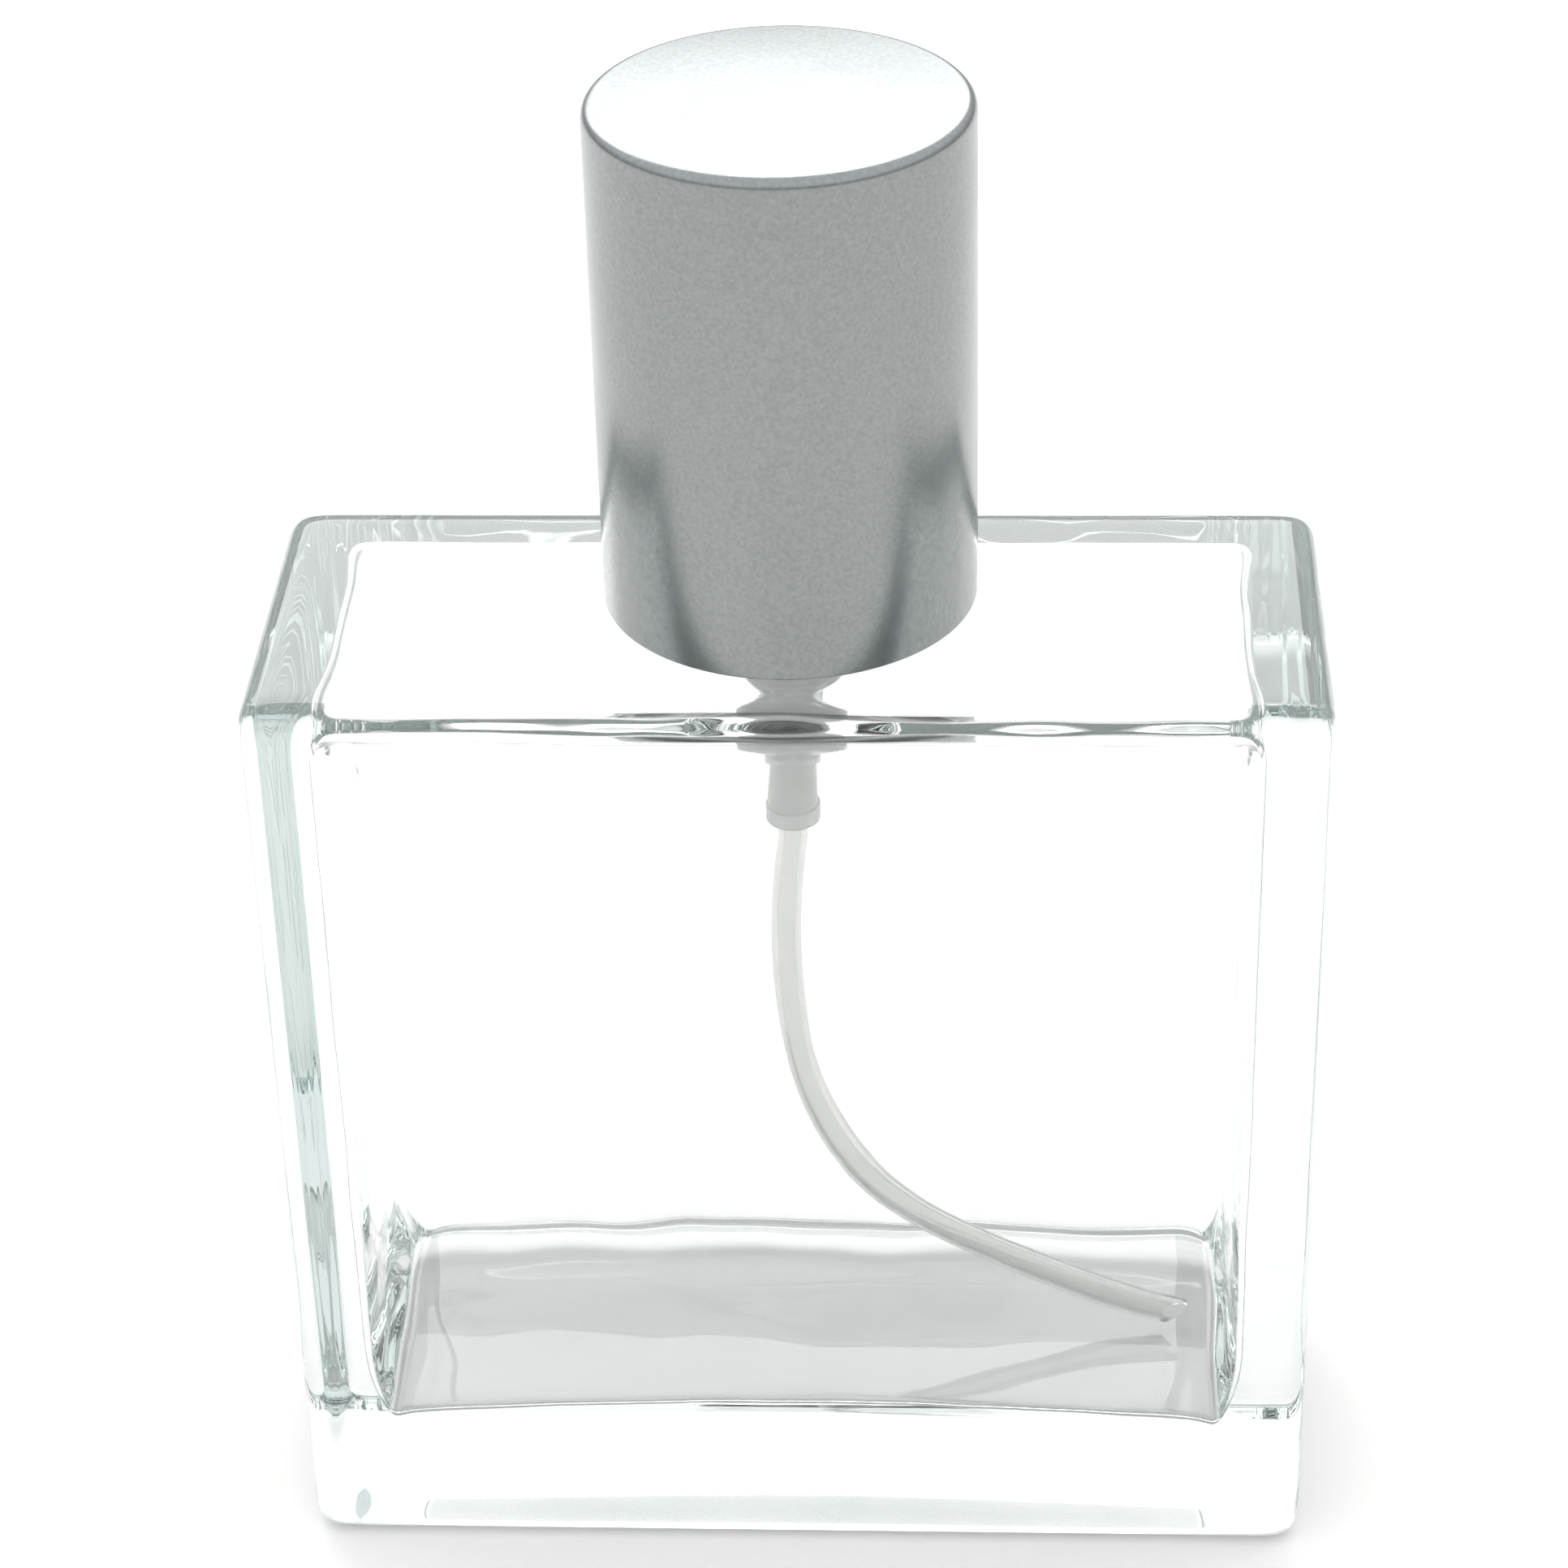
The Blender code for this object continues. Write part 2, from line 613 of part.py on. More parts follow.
def build_stem():
    flange_radius = barrel_radius - FIT_GAP
    stem_bore = STEM_BORE / 2
    upper = turned(
        "upper_stem",
        [
            (stem_bore, stem_top),
            (stem_radius, stem_top),
            (stem_radius, stem_flange_top),
            (flange_radius, stem_flange_top),
            (flange_radius, stem_low),
            (stem_bore, stem_low),
        ],
        WHITE_PLASTIC,
        INNER_SIDES,
    )

    plug_radius = min(rod_radius, stem_bore - TUBE_GAP)
    spigot_radius = SPIGOT_DIAMETER / 2
    rod = turned(
        "lower_stem",
        [
            (0, stem_low + ROD_PLUG),
            (plug_radius, stem_low + ROD_PLUG),
            (plug_radius, stem_low),
            (rod_radius, stem_low - SEAT_GAP),
            (rod_radius, poppet_top),
            (POPPET_DIAMETER / 2, poppet_low + POPPET_HEIGHT / 2),
            (POPPET_DIAMETER / 2, poppet_low),
            (spigot_radius, poppet_low),
            (spigot_radius, poppet_low - SPIGOT_LENGTH),
            (0, poppet_low - SPIGOT_LENGTH),
        ],
        WHITE_PLASTIC,
        INNER_SIDES,
    )

    outer = barrel_radius - SLIDE_GAP
    waist = outer - PISTON_WAIST
    piston = turned(
        "piston",
        [
            (rod_bore, piston_top),
            (outer, piston_top),
            (outer, piston_top - PISTON_LIP),
            (waist, piston_top - 1.5 * PISTON_LIP),
            (waist, piston_low + 1.5 * PISTON_LIP),
            (outer, piston_low + PISTON_LIP),
            (outer, piston_low),
            (rod_bore, piston_low),
        ],
        CLEAR_PLASTIC,
        INNER_SIDES,
    )
    return [upper, rod, piston]


# ---------------------------------------------------------------- button, sleeve and spray insert

def front_cylinder(name, radius, near, far):
    """A cutter along -Y at the insert's height, from the distance near the axis to far in front of it."""
    mesh = bpy.data.meshes.new(name)
    rod = bmesh.new()
    turn = Matrix.Rotation(math.radians(90), 4, "X")
    place = Matrix.Translation((0, -(near + far) / 2, insert_axis))
    bmesh.ops.create_cone(
        rod,
        cap_ends=True,
        segments=INNER_SIDES,
        radius1=radius,
        radius2=radius,
        depth=far - near,
        matrix=place @ turn,
    )
    rod.to_mesh(mesh)
    rod.free()
    return add_object(name, mesh)


def build_button():
    socket_bore = stem_radius + FIT_GAP
    socket_radius_out = socket_bore + SOCKET_WALL
    button = turned(
        "actuator_button",
        [(0, button_top)]
        + arc((button_radius - BUTTON_ROUNDING, button_top - BUTTON_ROUNDING), BUTTON_ROUNDING, 90, 0, 2)
        + [
            (button_radius, skirt_low),
            (skirt_bore, skirt_low),
            (skirt_bore, web_low),
            (socket_radius_out, web_low),
            (socket_radius_out, socket_low),
            (socket_bore, socket_low),
            (socket_bore, socket_ceiling),
            (0, socket_ceiling),
        ],
        WHITE_PLASTIC,
    )
    insert_back = insert_front - INSERT_LENGTH
    pocket_back = insert_back - SEAT_GAP
    pocket = front_cylinder("insert_pocket_cutter", insert_bore, pocket_back, sleeve_radius + OVERCUT)
    channel_radius = CHANNEL_DIAMETER / 2
    channel = turned(
        "channel_cutter",
        [
            (0, insert_axis + channel_radius),
            (channel_radius, insert_axis + channel_radius),
            (channel_radius, socket_ceiling - channel_radius),
            (0, socket_ceiling - channel_radius),
        ],
        sides=12,
    )
    feed = front_cylinder("feed_cutter", channel_radius * 0.9, 0, pocket_back + channel_radius)
    boolean(button, pocket, "DIFFERENCE")
    boolean(button, channel, "DIFFERENCE")
    boolean(button, feed, "DIFFERENCE")

    sleeve = turned(
        "actuator_sleeve",
        [(0, sleeve_top)]
        + arc((sleeve_radius - BUTTON_ROUNDING, sleeve_top - BUTTON_ROUNDING), BUTTON_ROUNDING, 90, 0, 3)
        + [(sleeve_radius, sleeve_low), (sleeve_bore, sleeve_low)]
        + [(sleeve_bore, sleeve_top - BUTTON_ROUNDING), (sleeve_bore - SLEEVE_WALL, sleeve_top - SLEEVE_WALL)]
        + [(0, sleeve_top - SLEEVE_WALL)],
        ALUMINIUM,
    )
    window = front_cylinder("spray_window_cutter", insert_bore, skirt_bore, sleeve_radius + OVERCUT)
    boolean(sleeve, window, "DIFFERENCE")

    # The insert is turned about Z with its face up, then laid over to face the front.
    orifice = ORIFICE_DIAMETER / 2
    cup_bore = insert_radius - INSERT_WALL
    insert = turned(
        "spray_insert",
        [
            (orifice, INSERT_LENGTH),
            (insert_radius, INSERT_LENGTH),
            (insert_radius, 0),
            (cup_bore, 0),
            (cup_bore, INSERT_LENGTH - INSERT_FACE),
            (orifice, INSERT_LENGTH - INSERT_FACE),
        ],
        WHITE_PLASTIC,
        INNER_SIDES,
    )
    insert.rotation_euler.x = math.radians(90)
    insert.location = (0, -insert_back, insert_axis)
    return [button, sleeve, insert]


# ---------------------------------------------------------------- collar

def build_collar():
    snap_reach = min(COLLAR_SNAP, collar_liner_bore - neck_radius - NECK_FILLET)
    snap_low = collar_liner_low + COLLAR_SNAP
    snap_bore = collar_liner_bore - snap_reach
    ledge_low = ferrule_top + SEAT_GAP
    lip_low = collar_liner_top - COLLAR_LEDGE
    turned(
        "collar_liner",
        [
            (opening_radius, collar_liner_top),
            (collar_liner_radius, collar_liner_top),
            (collar_liner_radius, collar_liner_low),
            (collar_liner_bore, collar_liner_low),
            (snap_bore, snap_low),
            (collar_liner_bore, snap_low + COLLAR_SNAP),
            (collar_liner_bore, ledge_low),
            (opening_radius, ledge_low),
            (opening_radius, ledge_low + COLLAR_LEDGE),
            (collar_liner_bore, ledge_low + COLLAR_LEDGE),
            (collar_liner_bore, lip_low),
            (opening_radius, lip_low),
        ],
        WHITE_PLASTIC,
    )
    turned(
        "collar_shell",
        [(opening_radius, collar_top)]
        + arc((collar_radius - COLLAR_WALL, collar_top - COLLAR_WALL), COLLAR_WALL, 90, 0, 2)
        + [
            (collar_radius, collar_low),
            (collar_bore, collar_low),
            (collar_bore, collar_top - COLLAR_WALL),
            (opening_radius, collar_top - COLLAR_WALL),
        ],
        ALUMINIUM,
    )


# ---------------------------------------------------------------- overcap

def build_overcap():
    shell = turned(
        "overcap_shell",
        [(0, cap_top)]
        + arc((cap_radius - CAP_EDGE_RADIUS, cap_top - CAP_EDGE_RADIUS), CAP_EDGE_RADIUS, 90, 0)
        + [
            (cap_radius, cap_low),
            (cap_bore, cap_low),
            (cap_bore, cap_top - CAP_WALL),
            (0, cap_top - CAP_WALL),
        ],
        ALUMINIUM,
    )
    ledge_top = cap_ledge_low + CAP_LEDGE
    ledge_radius = collar_radius - CAP_LEDGE_REACH
    liner = turned(
        "overcap_liner",
        [(0, cap_liner_top)]
        + arc(
            (cap_liner_radius - CAP_EDGE_RADIUS, cap_liner_top - CAP_EDGE_RADIUS),
            CAP_EDGE_RADIUS,
            90,
            0,
            2,
        )
        + [
            (cap_liner_radius, cap_liner_low),
            (cap_liner_bore, cap_liner_low),
            (cap_liner_bore, cap_ledge_low),
            (ledge_radius, cap_ledge_low),
            (ledge_radius, ledge_top),
            (cap_liner_bore, ledge_top + CAP_LEDGE),
            (cap_liner_bore, cap_ceiling),
            (0, cap_ceiling),
        ],
        CLEAR_PLASTIC,
    )
    boolean(liner, grip_ribs(), "UNION")
    return [shell, liner]


def grip_ribs():
    """The ribs around the liner's mouth that grip the collar."""
    low = cap_liner_low + GRIP_RIB_MARGIN
    high = cap_ledge_low - GRIP_RIB_MARGIN
    buried = CAP_LINER_WALL / 2
    reach = GRIP_RIB_HEIGHT + buried
    size = Vector((reach, GRIP_RIB_WIDTH, high - low))
    centre = Vector((grip_radius + reach / 2, 0, (low + high) / 2))
    mesh = bpy.data.meshes.new("grip_rib_blanks")
    blanks = bmesh.new()
    for rib in range(GRIP_RIBS):
        around = Matrix.Rotation(2 * math.pi * (rib + 0.5) / GRIP_RIBS, 4, "Z")
        place = around @ Matrix.Translation(centre) @ Matrix.Diagonal((*size, 1.0))
        bmesh.ops.create_cube(blanks, size=1.0, matrix=place)
    blanks.to_mesh(mesh)
    blanks.free()
    return add_object("grip_rib_blanks", mesh)


# ---------------------------------------------------------------- assembly

def add_carrier(name, children, parent=None):
    """An empty on the joint's axis that carries one moving group."""
    carrier = bpy.data.objects.new(name, None)
    parts.objects.link(carrier)
    carrier.parent = parent
    for child in children:
        child.parent = carrier
    return carrier


clear_scene()
parts = new_collection("aftershave_bottle")
cutters = new_collection("cutters")
build_bottle()
build_neck_fittings()
build_housing()
build_ball()
build_dip_tube()
build_springs()
upper_stem, lower_stem, piston = build_stem()
button_pieces = build_button()
build_collar()
stem_carrier = add_carrier("stem_press", [upper_stem, lower_stem])
add_carrier("piston_slip", [piston], stem_carrier)
add_carrier("actuator_turn", button_pieces, stem_carrier)
add_carrier("overcap_lift", build_overcap())
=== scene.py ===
"""Aftershave bottle with a crimped spray pump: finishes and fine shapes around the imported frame.

Metres, +Z up, in the frame's own axes: X is the bottle's width and -Y is its front. Every piece is
modelled anew over its CAD solid, except the steel inlet ball, which keeps the CAD shape.
"""

import math

import bpy
from mathutils import Matrix, Vector


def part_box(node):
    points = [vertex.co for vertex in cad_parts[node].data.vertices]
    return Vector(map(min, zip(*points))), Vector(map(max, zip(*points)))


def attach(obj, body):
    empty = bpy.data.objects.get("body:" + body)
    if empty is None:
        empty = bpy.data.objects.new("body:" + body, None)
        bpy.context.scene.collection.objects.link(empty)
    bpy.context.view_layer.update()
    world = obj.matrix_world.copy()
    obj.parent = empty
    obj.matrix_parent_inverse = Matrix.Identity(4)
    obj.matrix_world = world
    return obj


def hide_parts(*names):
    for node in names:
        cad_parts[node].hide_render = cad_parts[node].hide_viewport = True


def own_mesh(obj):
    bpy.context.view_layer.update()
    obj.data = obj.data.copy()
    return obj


MM = 0.001

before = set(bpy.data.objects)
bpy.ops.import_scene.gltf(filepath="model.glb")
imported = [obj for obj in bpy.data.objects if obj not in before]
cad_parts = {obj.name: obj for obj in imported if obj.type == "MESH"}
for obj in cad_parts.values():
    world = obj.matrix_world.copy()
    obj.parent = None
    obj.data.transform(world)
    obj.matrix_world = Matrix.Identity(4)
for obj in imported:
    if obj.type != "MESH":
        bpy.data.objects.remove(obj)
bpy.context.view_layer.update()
# The CAD's materials give up their names to the finishes below.
for material in bpy.data.materials:
    material.name = "cad_" + material.name

# ---------------------------------------------------------------- sizes read from the frame
glass_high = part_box("glass_bottle")[1]
cap_low, cap_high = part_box("overcap_shell")
cap_liner_low, cap_liner_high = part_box("overcap_liner")
collar_low, collar_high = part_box("collar_shell")
collar_liner_low, collar_liner_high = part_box("collar_liner")
button_low, button_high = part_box("actuator_button")
sleeve_low, sleeve_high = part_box("actuator_sleeve")
insert_low, insert_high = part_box("spray_insert")
ferrule_low, ferrule_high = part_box("crimp_ferrule")
turret_low, turret_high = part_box("turret")
housing_low, housing_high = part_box("pump_housing")
stem_low, stem_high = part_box("upper_stem")
return_low, return_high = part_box("return_spring")
slip_low, slip_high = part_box("precompression_spring")

# ---------------------------------------------------------------- glass
HALF_WIDTH = glass_high.x
HALF_DEPTH = glass_high.y
LIP_TOP = glass_high.z
NECK_HEIGHT = 7.6 * MM
SHOULDER = LIP_TOP - NECK_HEIGHT
EDGE_LOOP = 3.4 * MM         # loops either side of an outer edge, which set its rounding
SIDE_WALL = 4.3 * MM
FACE_WALL = 2.6 * MM         # at the shoulder
FACE_WALL_LOW = 3.8 * MM     # at the floor
SHOULDER_WALL = 3.0 * MM
FLOOR_END = 8.6 * MM
FLOOR_MIDDLE = 10.6 * MM
CAVITY_LOOP = 2.4 * MM
WALL_WAVE = 0.32 * MM        # how unevenly the glass chilled inside
WALL_WAVE_LENGTH = 10 * MM
NECK_FOOT_RADIUS = 8.3 * MM    # where the neck's fillet leaves the shoulder
NECK_FILLET_RADII = (7.3 * MM, 6.5 * MM)
NECK_RADIUS = 6.45 * MM
LIP_RADIUS = 7.5 * MM
BORE_RADIUS = 4.7 * MM
BORE_FLARE_RADII = (6.3 * MM, 5.3 * MM)    # where the cavity's roof runs up into the bore
BORE_START = 2.5 * MM        # height of the flare over the cavity's roof
BORE_EDGE = 0.7 * MM         # rounding where the bore meets the lip's top
LIP_EDGE = LIP_TOP - 3.2 * MM
MOUTH_SIDES = 16
MOUTH_STEP = math.tan(math.pi / 8)
GLASS_LEVELS = 3
RING_SHRINK = (2 + math.cos(2 * math.pi / MOUTH_SIDES)) / 3   # a subdivided ring comes in by this
RECESS_DEPTH = 0.6 * MM
FLOOR_STEPS = ((28.5, 0.3), (25.5, 0.25), (15, 0.25), (7, 0.2))   # reach in mm, share of the arch's rise
FACE_STEP_HEIGHT = 12 * MM   # over the floor, where the faces reach their full low wall
BELLY = 0.5 * MM             # how far the side walls swell in between the corners
BELLY_REACH = 0.6            # share of the depth that swells
BELLY_START = 6 * MM         # over the floor
HEAVY_CORNER = 1.6 * MM      # extra glass in the cavity's lower corners
HEAVY_CORNER_HEIGHT = 3 * MM
CAVITY_MIDDLE_CUT = 14 * MM
LOW_CUTS = (4 * MM, 10 * MM)    # over the floor

# ---------------------------------------------------------------- overcap and collar
CAP_WALL = 0.5 * MM
CAP_EDGE = 0.7 * MM
CAP_LINER_WALL = 0.7 * MM
CAP_LINER_TOP = 1.2 * MM
CAP_LEDGE = 1.2 * MM
CAP_LEDGE_REACH = 1.0 * MM
GRIP_RIBS = 12
GRIP_RIB_HEIGHT = 0.5 * MM
GRIP_RIB_MARGIN = 1.0 * MM
COLLAR_WALL = 0.4 * MM
COLLAR_LINER_WALL = 0.9 * MM
COLLAR_LEDGE = 0.8 * MM
COLLAR_SNAP = 0.7 * MM
OPENING_RADIUS = 7.45 * MM
SEAT_GAP = 0.3 * MM
FIT_GAP = 0.3 * MM

# ---------------------------------------------------------------- pump
FERRULE_WALL = 0.4 * MM
FERRULE_CRIMP = 0.9 * MM
TURRET_BORE = 4.5 * MM
TURRET_RADIUS = 5.1 * MM
TURRET_FLANGE = 1.0 * MM
TURRET_LATCH = 0.9 * MM
TURRET_LATCH_BORE = 4.0 * MM
TURRET_CEILING = 0.9 * MM
STEM_RADIUS = 1.9 * MM
STEM_BORE = 1.2 * MM
STEM_GUIDE = 2.2 * MM
STEM_FLANGE = 0.8 * MM
STEM_FLANGE_RADIUS = 2.7 * MM
BARREL_RADIUS = 3.0 * MM
HOUSING_RADIUS = 3.7 * MM
HOUSING_COLLAR_RADIUS = 4.2 * MM
HOUSING_COLLAR = 1.5 * MM
BARREL_CONE = 1.6 * MM
BARREL_FLOOR = 0.4 * MM
NOSE_LENGTH = 7.95 * MM
NOSE_RADIUS = 1.65 * MM
NOSE_RING_RADIUS = 1.93 * MM
NOSE_RING = 2.2 * MM
NOSE_FOOT_RADIUS = 1.77 * MM
NOSE_FOOT = 1.25 * MM
SOCKET_RADIUS = 1.15 * MM
SOCKET_DEPTH = 5.3 * MM
FLOW_RADIUS = 0.7 * MM
FLOW_LENGTH = 1.0 * MM
CHAMBER_RADIUS = 1.3 * MM
BALL_STOP_RADIUS = 0.85 * MM
BALL_LIFT = 0.6 * MM
BALL_GAP = 0.08 * MM
ROD_RADIUS = 0.95 * MM
POPPET_RADIUS = 2.1 * MM
POPPET_HEIGHT = 1.1 * MM
SPIGOT_RADIUS = 1.3 * MM
SPIGOT_LENGTH = 1.5 * MM
PISTON_RADIUS = 2.85 * MM
PISTON_BORE = 1.25 * MM
PISTON_LIP = 0.7 * MM
PISTON_WAIST = 0.45 * MM

TUBE_RADIUS = 0.95 * MM
TUBE_WALL = 0.4 * MM
TUBE_STRAIGHT = 1.4 * MM
TUBE_BOW = 2.7 * MM
TUBE_FIRST_REACH = 0.58
TUBE_SECOND_REACH = 0.81
TUBE_SECOND_SHIFT = 0.06
TUBE_END_X = 26.9 * MM
TUBE_END_Z = 10.9 * MM
TUBE_CUT = 35                # degrees that the low end is cut back by
RETURN_COIL = 1.85 * MM
RETURN_WIRE = 0.5 * MM
RETURN_TURNS = 6
SLIP_COIL = 1.425 * MM
SLIP_WIRE = 0.35 * MM
SLIP_TURNS = 4
CLOSED_TURN = 1.15           # rise of an end turn, in wire diameters
KNOTS_PER_TURN = 16

# ---------------------------------------------------------------- button
BUTTON_ROUNDING = 0.5 * MM
SKIRT_BORE = 5.6 * MM
SLEEVE_WALL = 0.35 * MM
STEM_SOCKET_BORE = 2.2 * MM
STEM_SOCKET_RADIUS = 3.2 * MM
STEM_SOCKET_RISE = 2.9 * MM  # from the skirt's rim up to the socket's mouth
STEM_SOCKET_DEPTH = 4.1 * MM
WEB_RISE = 1.8 * MM
INSERT_RADIUS = 2.0 * MM
INSERT_LENGTH = 3.0 * MM
INSERT_FACE = 0.7 * MM
INSERT_CUP_BORE = 1.3 * MM
ORIFICE_RADIUS = 0.2 * MM
ORIFICE_DISH_RADIUS = 0.6 * MM
ORIFICE_DISH_DEPTH = 0.25 * MM
INSERT_RING_RADII = (1.15 * MM, 1.4 * MM)    # a shallow ring in the insert's face
INSERT_RING_DEPTH = 0.15 * MM
INSERT_CORNER = 0.04 * MM

SOFT_CORNER = 0.1 * MM       # on moulded and rolled pieces
BIG_CORNER = 0.3 * MM        # a corner rounder than this takes more facets
WIDE_SIDES = 160
SLEEVE_SIDES = 128
FINE_SIDES = 96
SMALL_SIDES = 72
HOLE_SIDES = 64
SHARP_ANGLE = 40             # degrees over which an edge stays sharp
WELD = 0.002 * MM


# ---------------------------------------------------------------- modelling helpers

def new_primitive(add, **settings):
    """Adds a primitive with nothing else selected, its place baked into its mesh."""
    bpy.ops.object.select_all(action="DESELECT")
    add(**settings)
    piece = bpy.context.object
    bpy.ops.object.transform_apply(location=True, rotation=True, scale=True)
    return piece


def edit(piece, kind="VERT"):
    """Opens the piece in edit mode with nothing selected."""
    bpy.context.view_layer.objects.active = piece
    bpy.ops.object.mode_set(mode="EDIT")
    bpy.ops.mesh.select_mode(type=kind)
    bpy.ops.mesh.select_all(action="DESELECT")
    bpy.ops.object.mode_set(mode="OBJECT")


def edit_all(piece):
    """Opens the piece in edit mode with everything selected."""
    bpy.context.view_layer.objects.active = piece
    bpy.ops.object.mode_set(mode="EDIT")
    bpy.ops.mesh.select_mode(type="VERT")
    bpy.ops.mesh.select_all(action="SELECT")


def pick_points(piece, wanted):
    """Selects the points whose place is wanted, and leaves the piece in edit mode."""
    edit(piece, "VERT")
    for point in piece.data.vertices:
        point.select = bool(wanted(point.co))
    bpy.ops.object.mode_set(mode="EDIT")


def pick_faces(piece, wanted):
    """Selects the faces whose centre and normal are wanted, and leaves the piece in edit mode."""
    edit(piece, "FACE")
    for face in piece.data.polygons:
        face.select = bool(wanted(face.center, face.normal))
    bpy.ops.object.mode_set(mode="EDIT")


def done():
    bpy.ops.object.mode_set(mode="OBJECT")


def apply_modifier(piece, kind, **settings):
    bpy.context.view_layer.objects.active = piece
    modifier = piece.modifiers.new(kind, kind)
    for name, value in settings.items():
        setattr(modifier, name, value)
    bpy.ops.object.modifier_apply(modifier=modifier.name)


def mend(piece):
    """Merges doubled points and turns every face outwards."""
    edit_all(piece)
    bpy.ops.mesh.remove_doubles(threshold=WELD)
    bpy.ops.mesh.normals_make_consistent(inside=False)
    done()


def smooth(piece):
    bpy.ops.object.select_all(action="DESELECT")
    piece.select_set(True)
    bpy.context.view_layer.objects.active = piece
    bpy.ops.object.shade_smooth_by_angle(angle=math.radians(SHARP_ANGLE))


def turned(name, outline, rounding, sides=FINE_SIDES):
    """A turned piece: its outline is drawn point by point, its corners rounded, then spun round Z.

    An outline of (radius, height) points starts and ends on the axis, or else closes on itself.
    A point may give its own rounding as a third number.
    """
    piece = new_primitive(bpy.ops.mesh.primitive_plane_add, size=1 * MM)
    piece.name = name
    piece.data.name = name
    edit_all(piece)
    bpy.ops.mesh.merge(type="CENTER")
    radius, height = outline[0][:2]
    bpy.ops.transform.translate(value=(radius, 0, height))
    closed = outline[0][0] > 0 or outline[-1][0] > 0
    for next_radius, next_height, *_ in outline[1:] + (outline[:1] if closed else []):
        move = (next_radius - radius, 0, next_height - height)
        bpy.ops.mesh.extrude_vertices_move(TRANSFORM_OT_translate={"value": move})
        radius, height = next_radius, next_height
    bpy.ops.mesh.select_all(action="SELECT")
    bpy.ops.mesh.remove_doubles(threshold=WELD)
    done()
    corners = {}
    for radius, height, *own in outline:
        if radius > 0:
            corners.setdefault(own[0] if own else rounding, []).append((radius, height))
    for size, places in corners.items():
        pick_points(piece, lambda at: any(math.dist((at.x, at.z), place) < WELD for place in places))
        segments = 7 if size > BIG_CORNER else 3
        bpy.ops.mesh.bevel(offset=size, segments=segments, affect="VERTICES", clamp_overlap=True)
        done()
    edit_all(piece)
    bpy.ops.mesh.spin(steps=sides, angle=2 * math.pi, center=(0, 0, 0), axis=(0, 0, 1))
    done()
    mend(piece)
    smooth(piece)
    return piece


def fit_out(piece, body, slot, finish, *nodes):
    """Gives a finished piece its material and the body it rides on, and hides the CAD nodes it stands for.
    """
    piece.data.materials.clear()
    piece.data.materials.append(finish)
    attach(piece, body)
    if nodes:
        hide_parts(*nodes)
    return piece


# ---------------------------------------------------------------- materials

def linear(code):
    """An sRGB hex colour as the linear values a shader takes."""
    values = []
    for start in (1, 3, 5):
        value = int(code[start:start + 2], 16) / 255
        values.append(value / 12.92 if value <= 0.04045 else ((value + 0.055) / 1.055) ** 2.4)
    return (*values, 1.0)


def add_node(tree, kind, sockets=None, **settings):
    """Adds a node, sets its properties, and sets its inputs, or links those whose value is a socket."""
    made = tree.nodes.new(kind)
    for name, value in settings.items():
        setattr(made, name, value)
    for name, value in (sockets or {}).items():
        if isinstance(value, bpy.types.NodeSocket):
            tree.links.new(value, made.inputs[name])
        else:
            made.inputs[name].default_value = value
    return made


def worked_finish(name, colours, roughness, patches, depth, stretch=(1.0, 1.0, 1.0), **sockets):
    """A material whose colour, gloss and relief each wander over patches of a real size.

    colours and roughness each give their two ends, patches the sizes of the colour's, the gloss's and the
    relief's patches, and depth the relief's. stretch squeezes the patches along X, Y and Z.
    """
    made = bpy.data.materials.new(name)
    made.use_nodes = True
    tree = made.node_tree
    shader = tree.nodes["Principled BSDF"]
    for socket, value in sockets.items():
        shader.inputs[socket.replace("_", " ")].default_value = value
    place = add_node(tree, "ShaderNodeTexCoord").outputs["Object"]
    place = add_node(tree, "ShaderNodeMapping", {"Vector": place, "Scale": stretch}).outputs["Vector"]
    noises = [{"Vector": place, "Scale": 1 / size, "Detail": 3.0} for size in patches]
    mottle, gloss, grain = [add_node(tree, "ShaderNodeTexNoise", noise).outputs["Fac"] for noise in noises]
    # Noise keeps near a half, so its middle is opened out to reach both ends.
    ramp = add_node(tree, "ShaderNodeValToRGB", {"Fac": mottle})
    for element, position, code in zip(ramp.color_ramp.elements, (0.3, 0.7), colours):
        element.position = position
        element.color = linear(code)
    tree.links.new(ramp.outputs["Color"], shader.inputs["Base Color"])
    ends = {"From Min": 0.3, "From Max": 0.7, "To Min": roughness[0], "To Max": roughness[1]}
    sheen = add_node(tree, "ShaderNodeMapRange", {"Value": gloss, **ends})
    tree.links.new(sheen.outputs["Result"], shader.inputs["Roughness"])
    relief = add_node(tree, "ShaderNodeBump", {"Height": grain, "Distance": depth})
    tree.links.new(relief.outputs["Normal"], shader.inputs["Normal"])
    return made


# Drawn aluminium, blasted fine and anodised silver: a satin sheen with a tight sparkle of grain.
anodised_aluminium = worked_finish(
    "anodised_aluminium", ("#898D8D", "#969A9A"), (0.22, 0.28), (0.28 * MM, 7 * MM, 0.28 * MM), 0.003 * MM,
    Metallic=1.0,
)
# Rolled aluminium sheet, crimped on: bright, with fine rolling lines drawn round it.
bare_aluminium = worked_finish(
    "bare_aluminium", ("#C2C4C6", "#CACCCE"), (0.2, 0.38), (3 * MM, 1.6 * MM, 1.6 * MM), 0.006 * MM,
    stretch=(1.0, 1.0, 14.0), Metallic=1.0,
)
# Stainless wire, drawn and coiled: bright, with die lines.
spring_steel = worked_finish(
    "spring_steel", ("#BEBFC1", "#C6C7C9"), (0.18, 0.34), (2 * MM, 0.5 * MM, 0.5 * MM), 0.003 * MM,
    stretch=(1.0, 1.0, 6.0), Metallic=1.0,
)
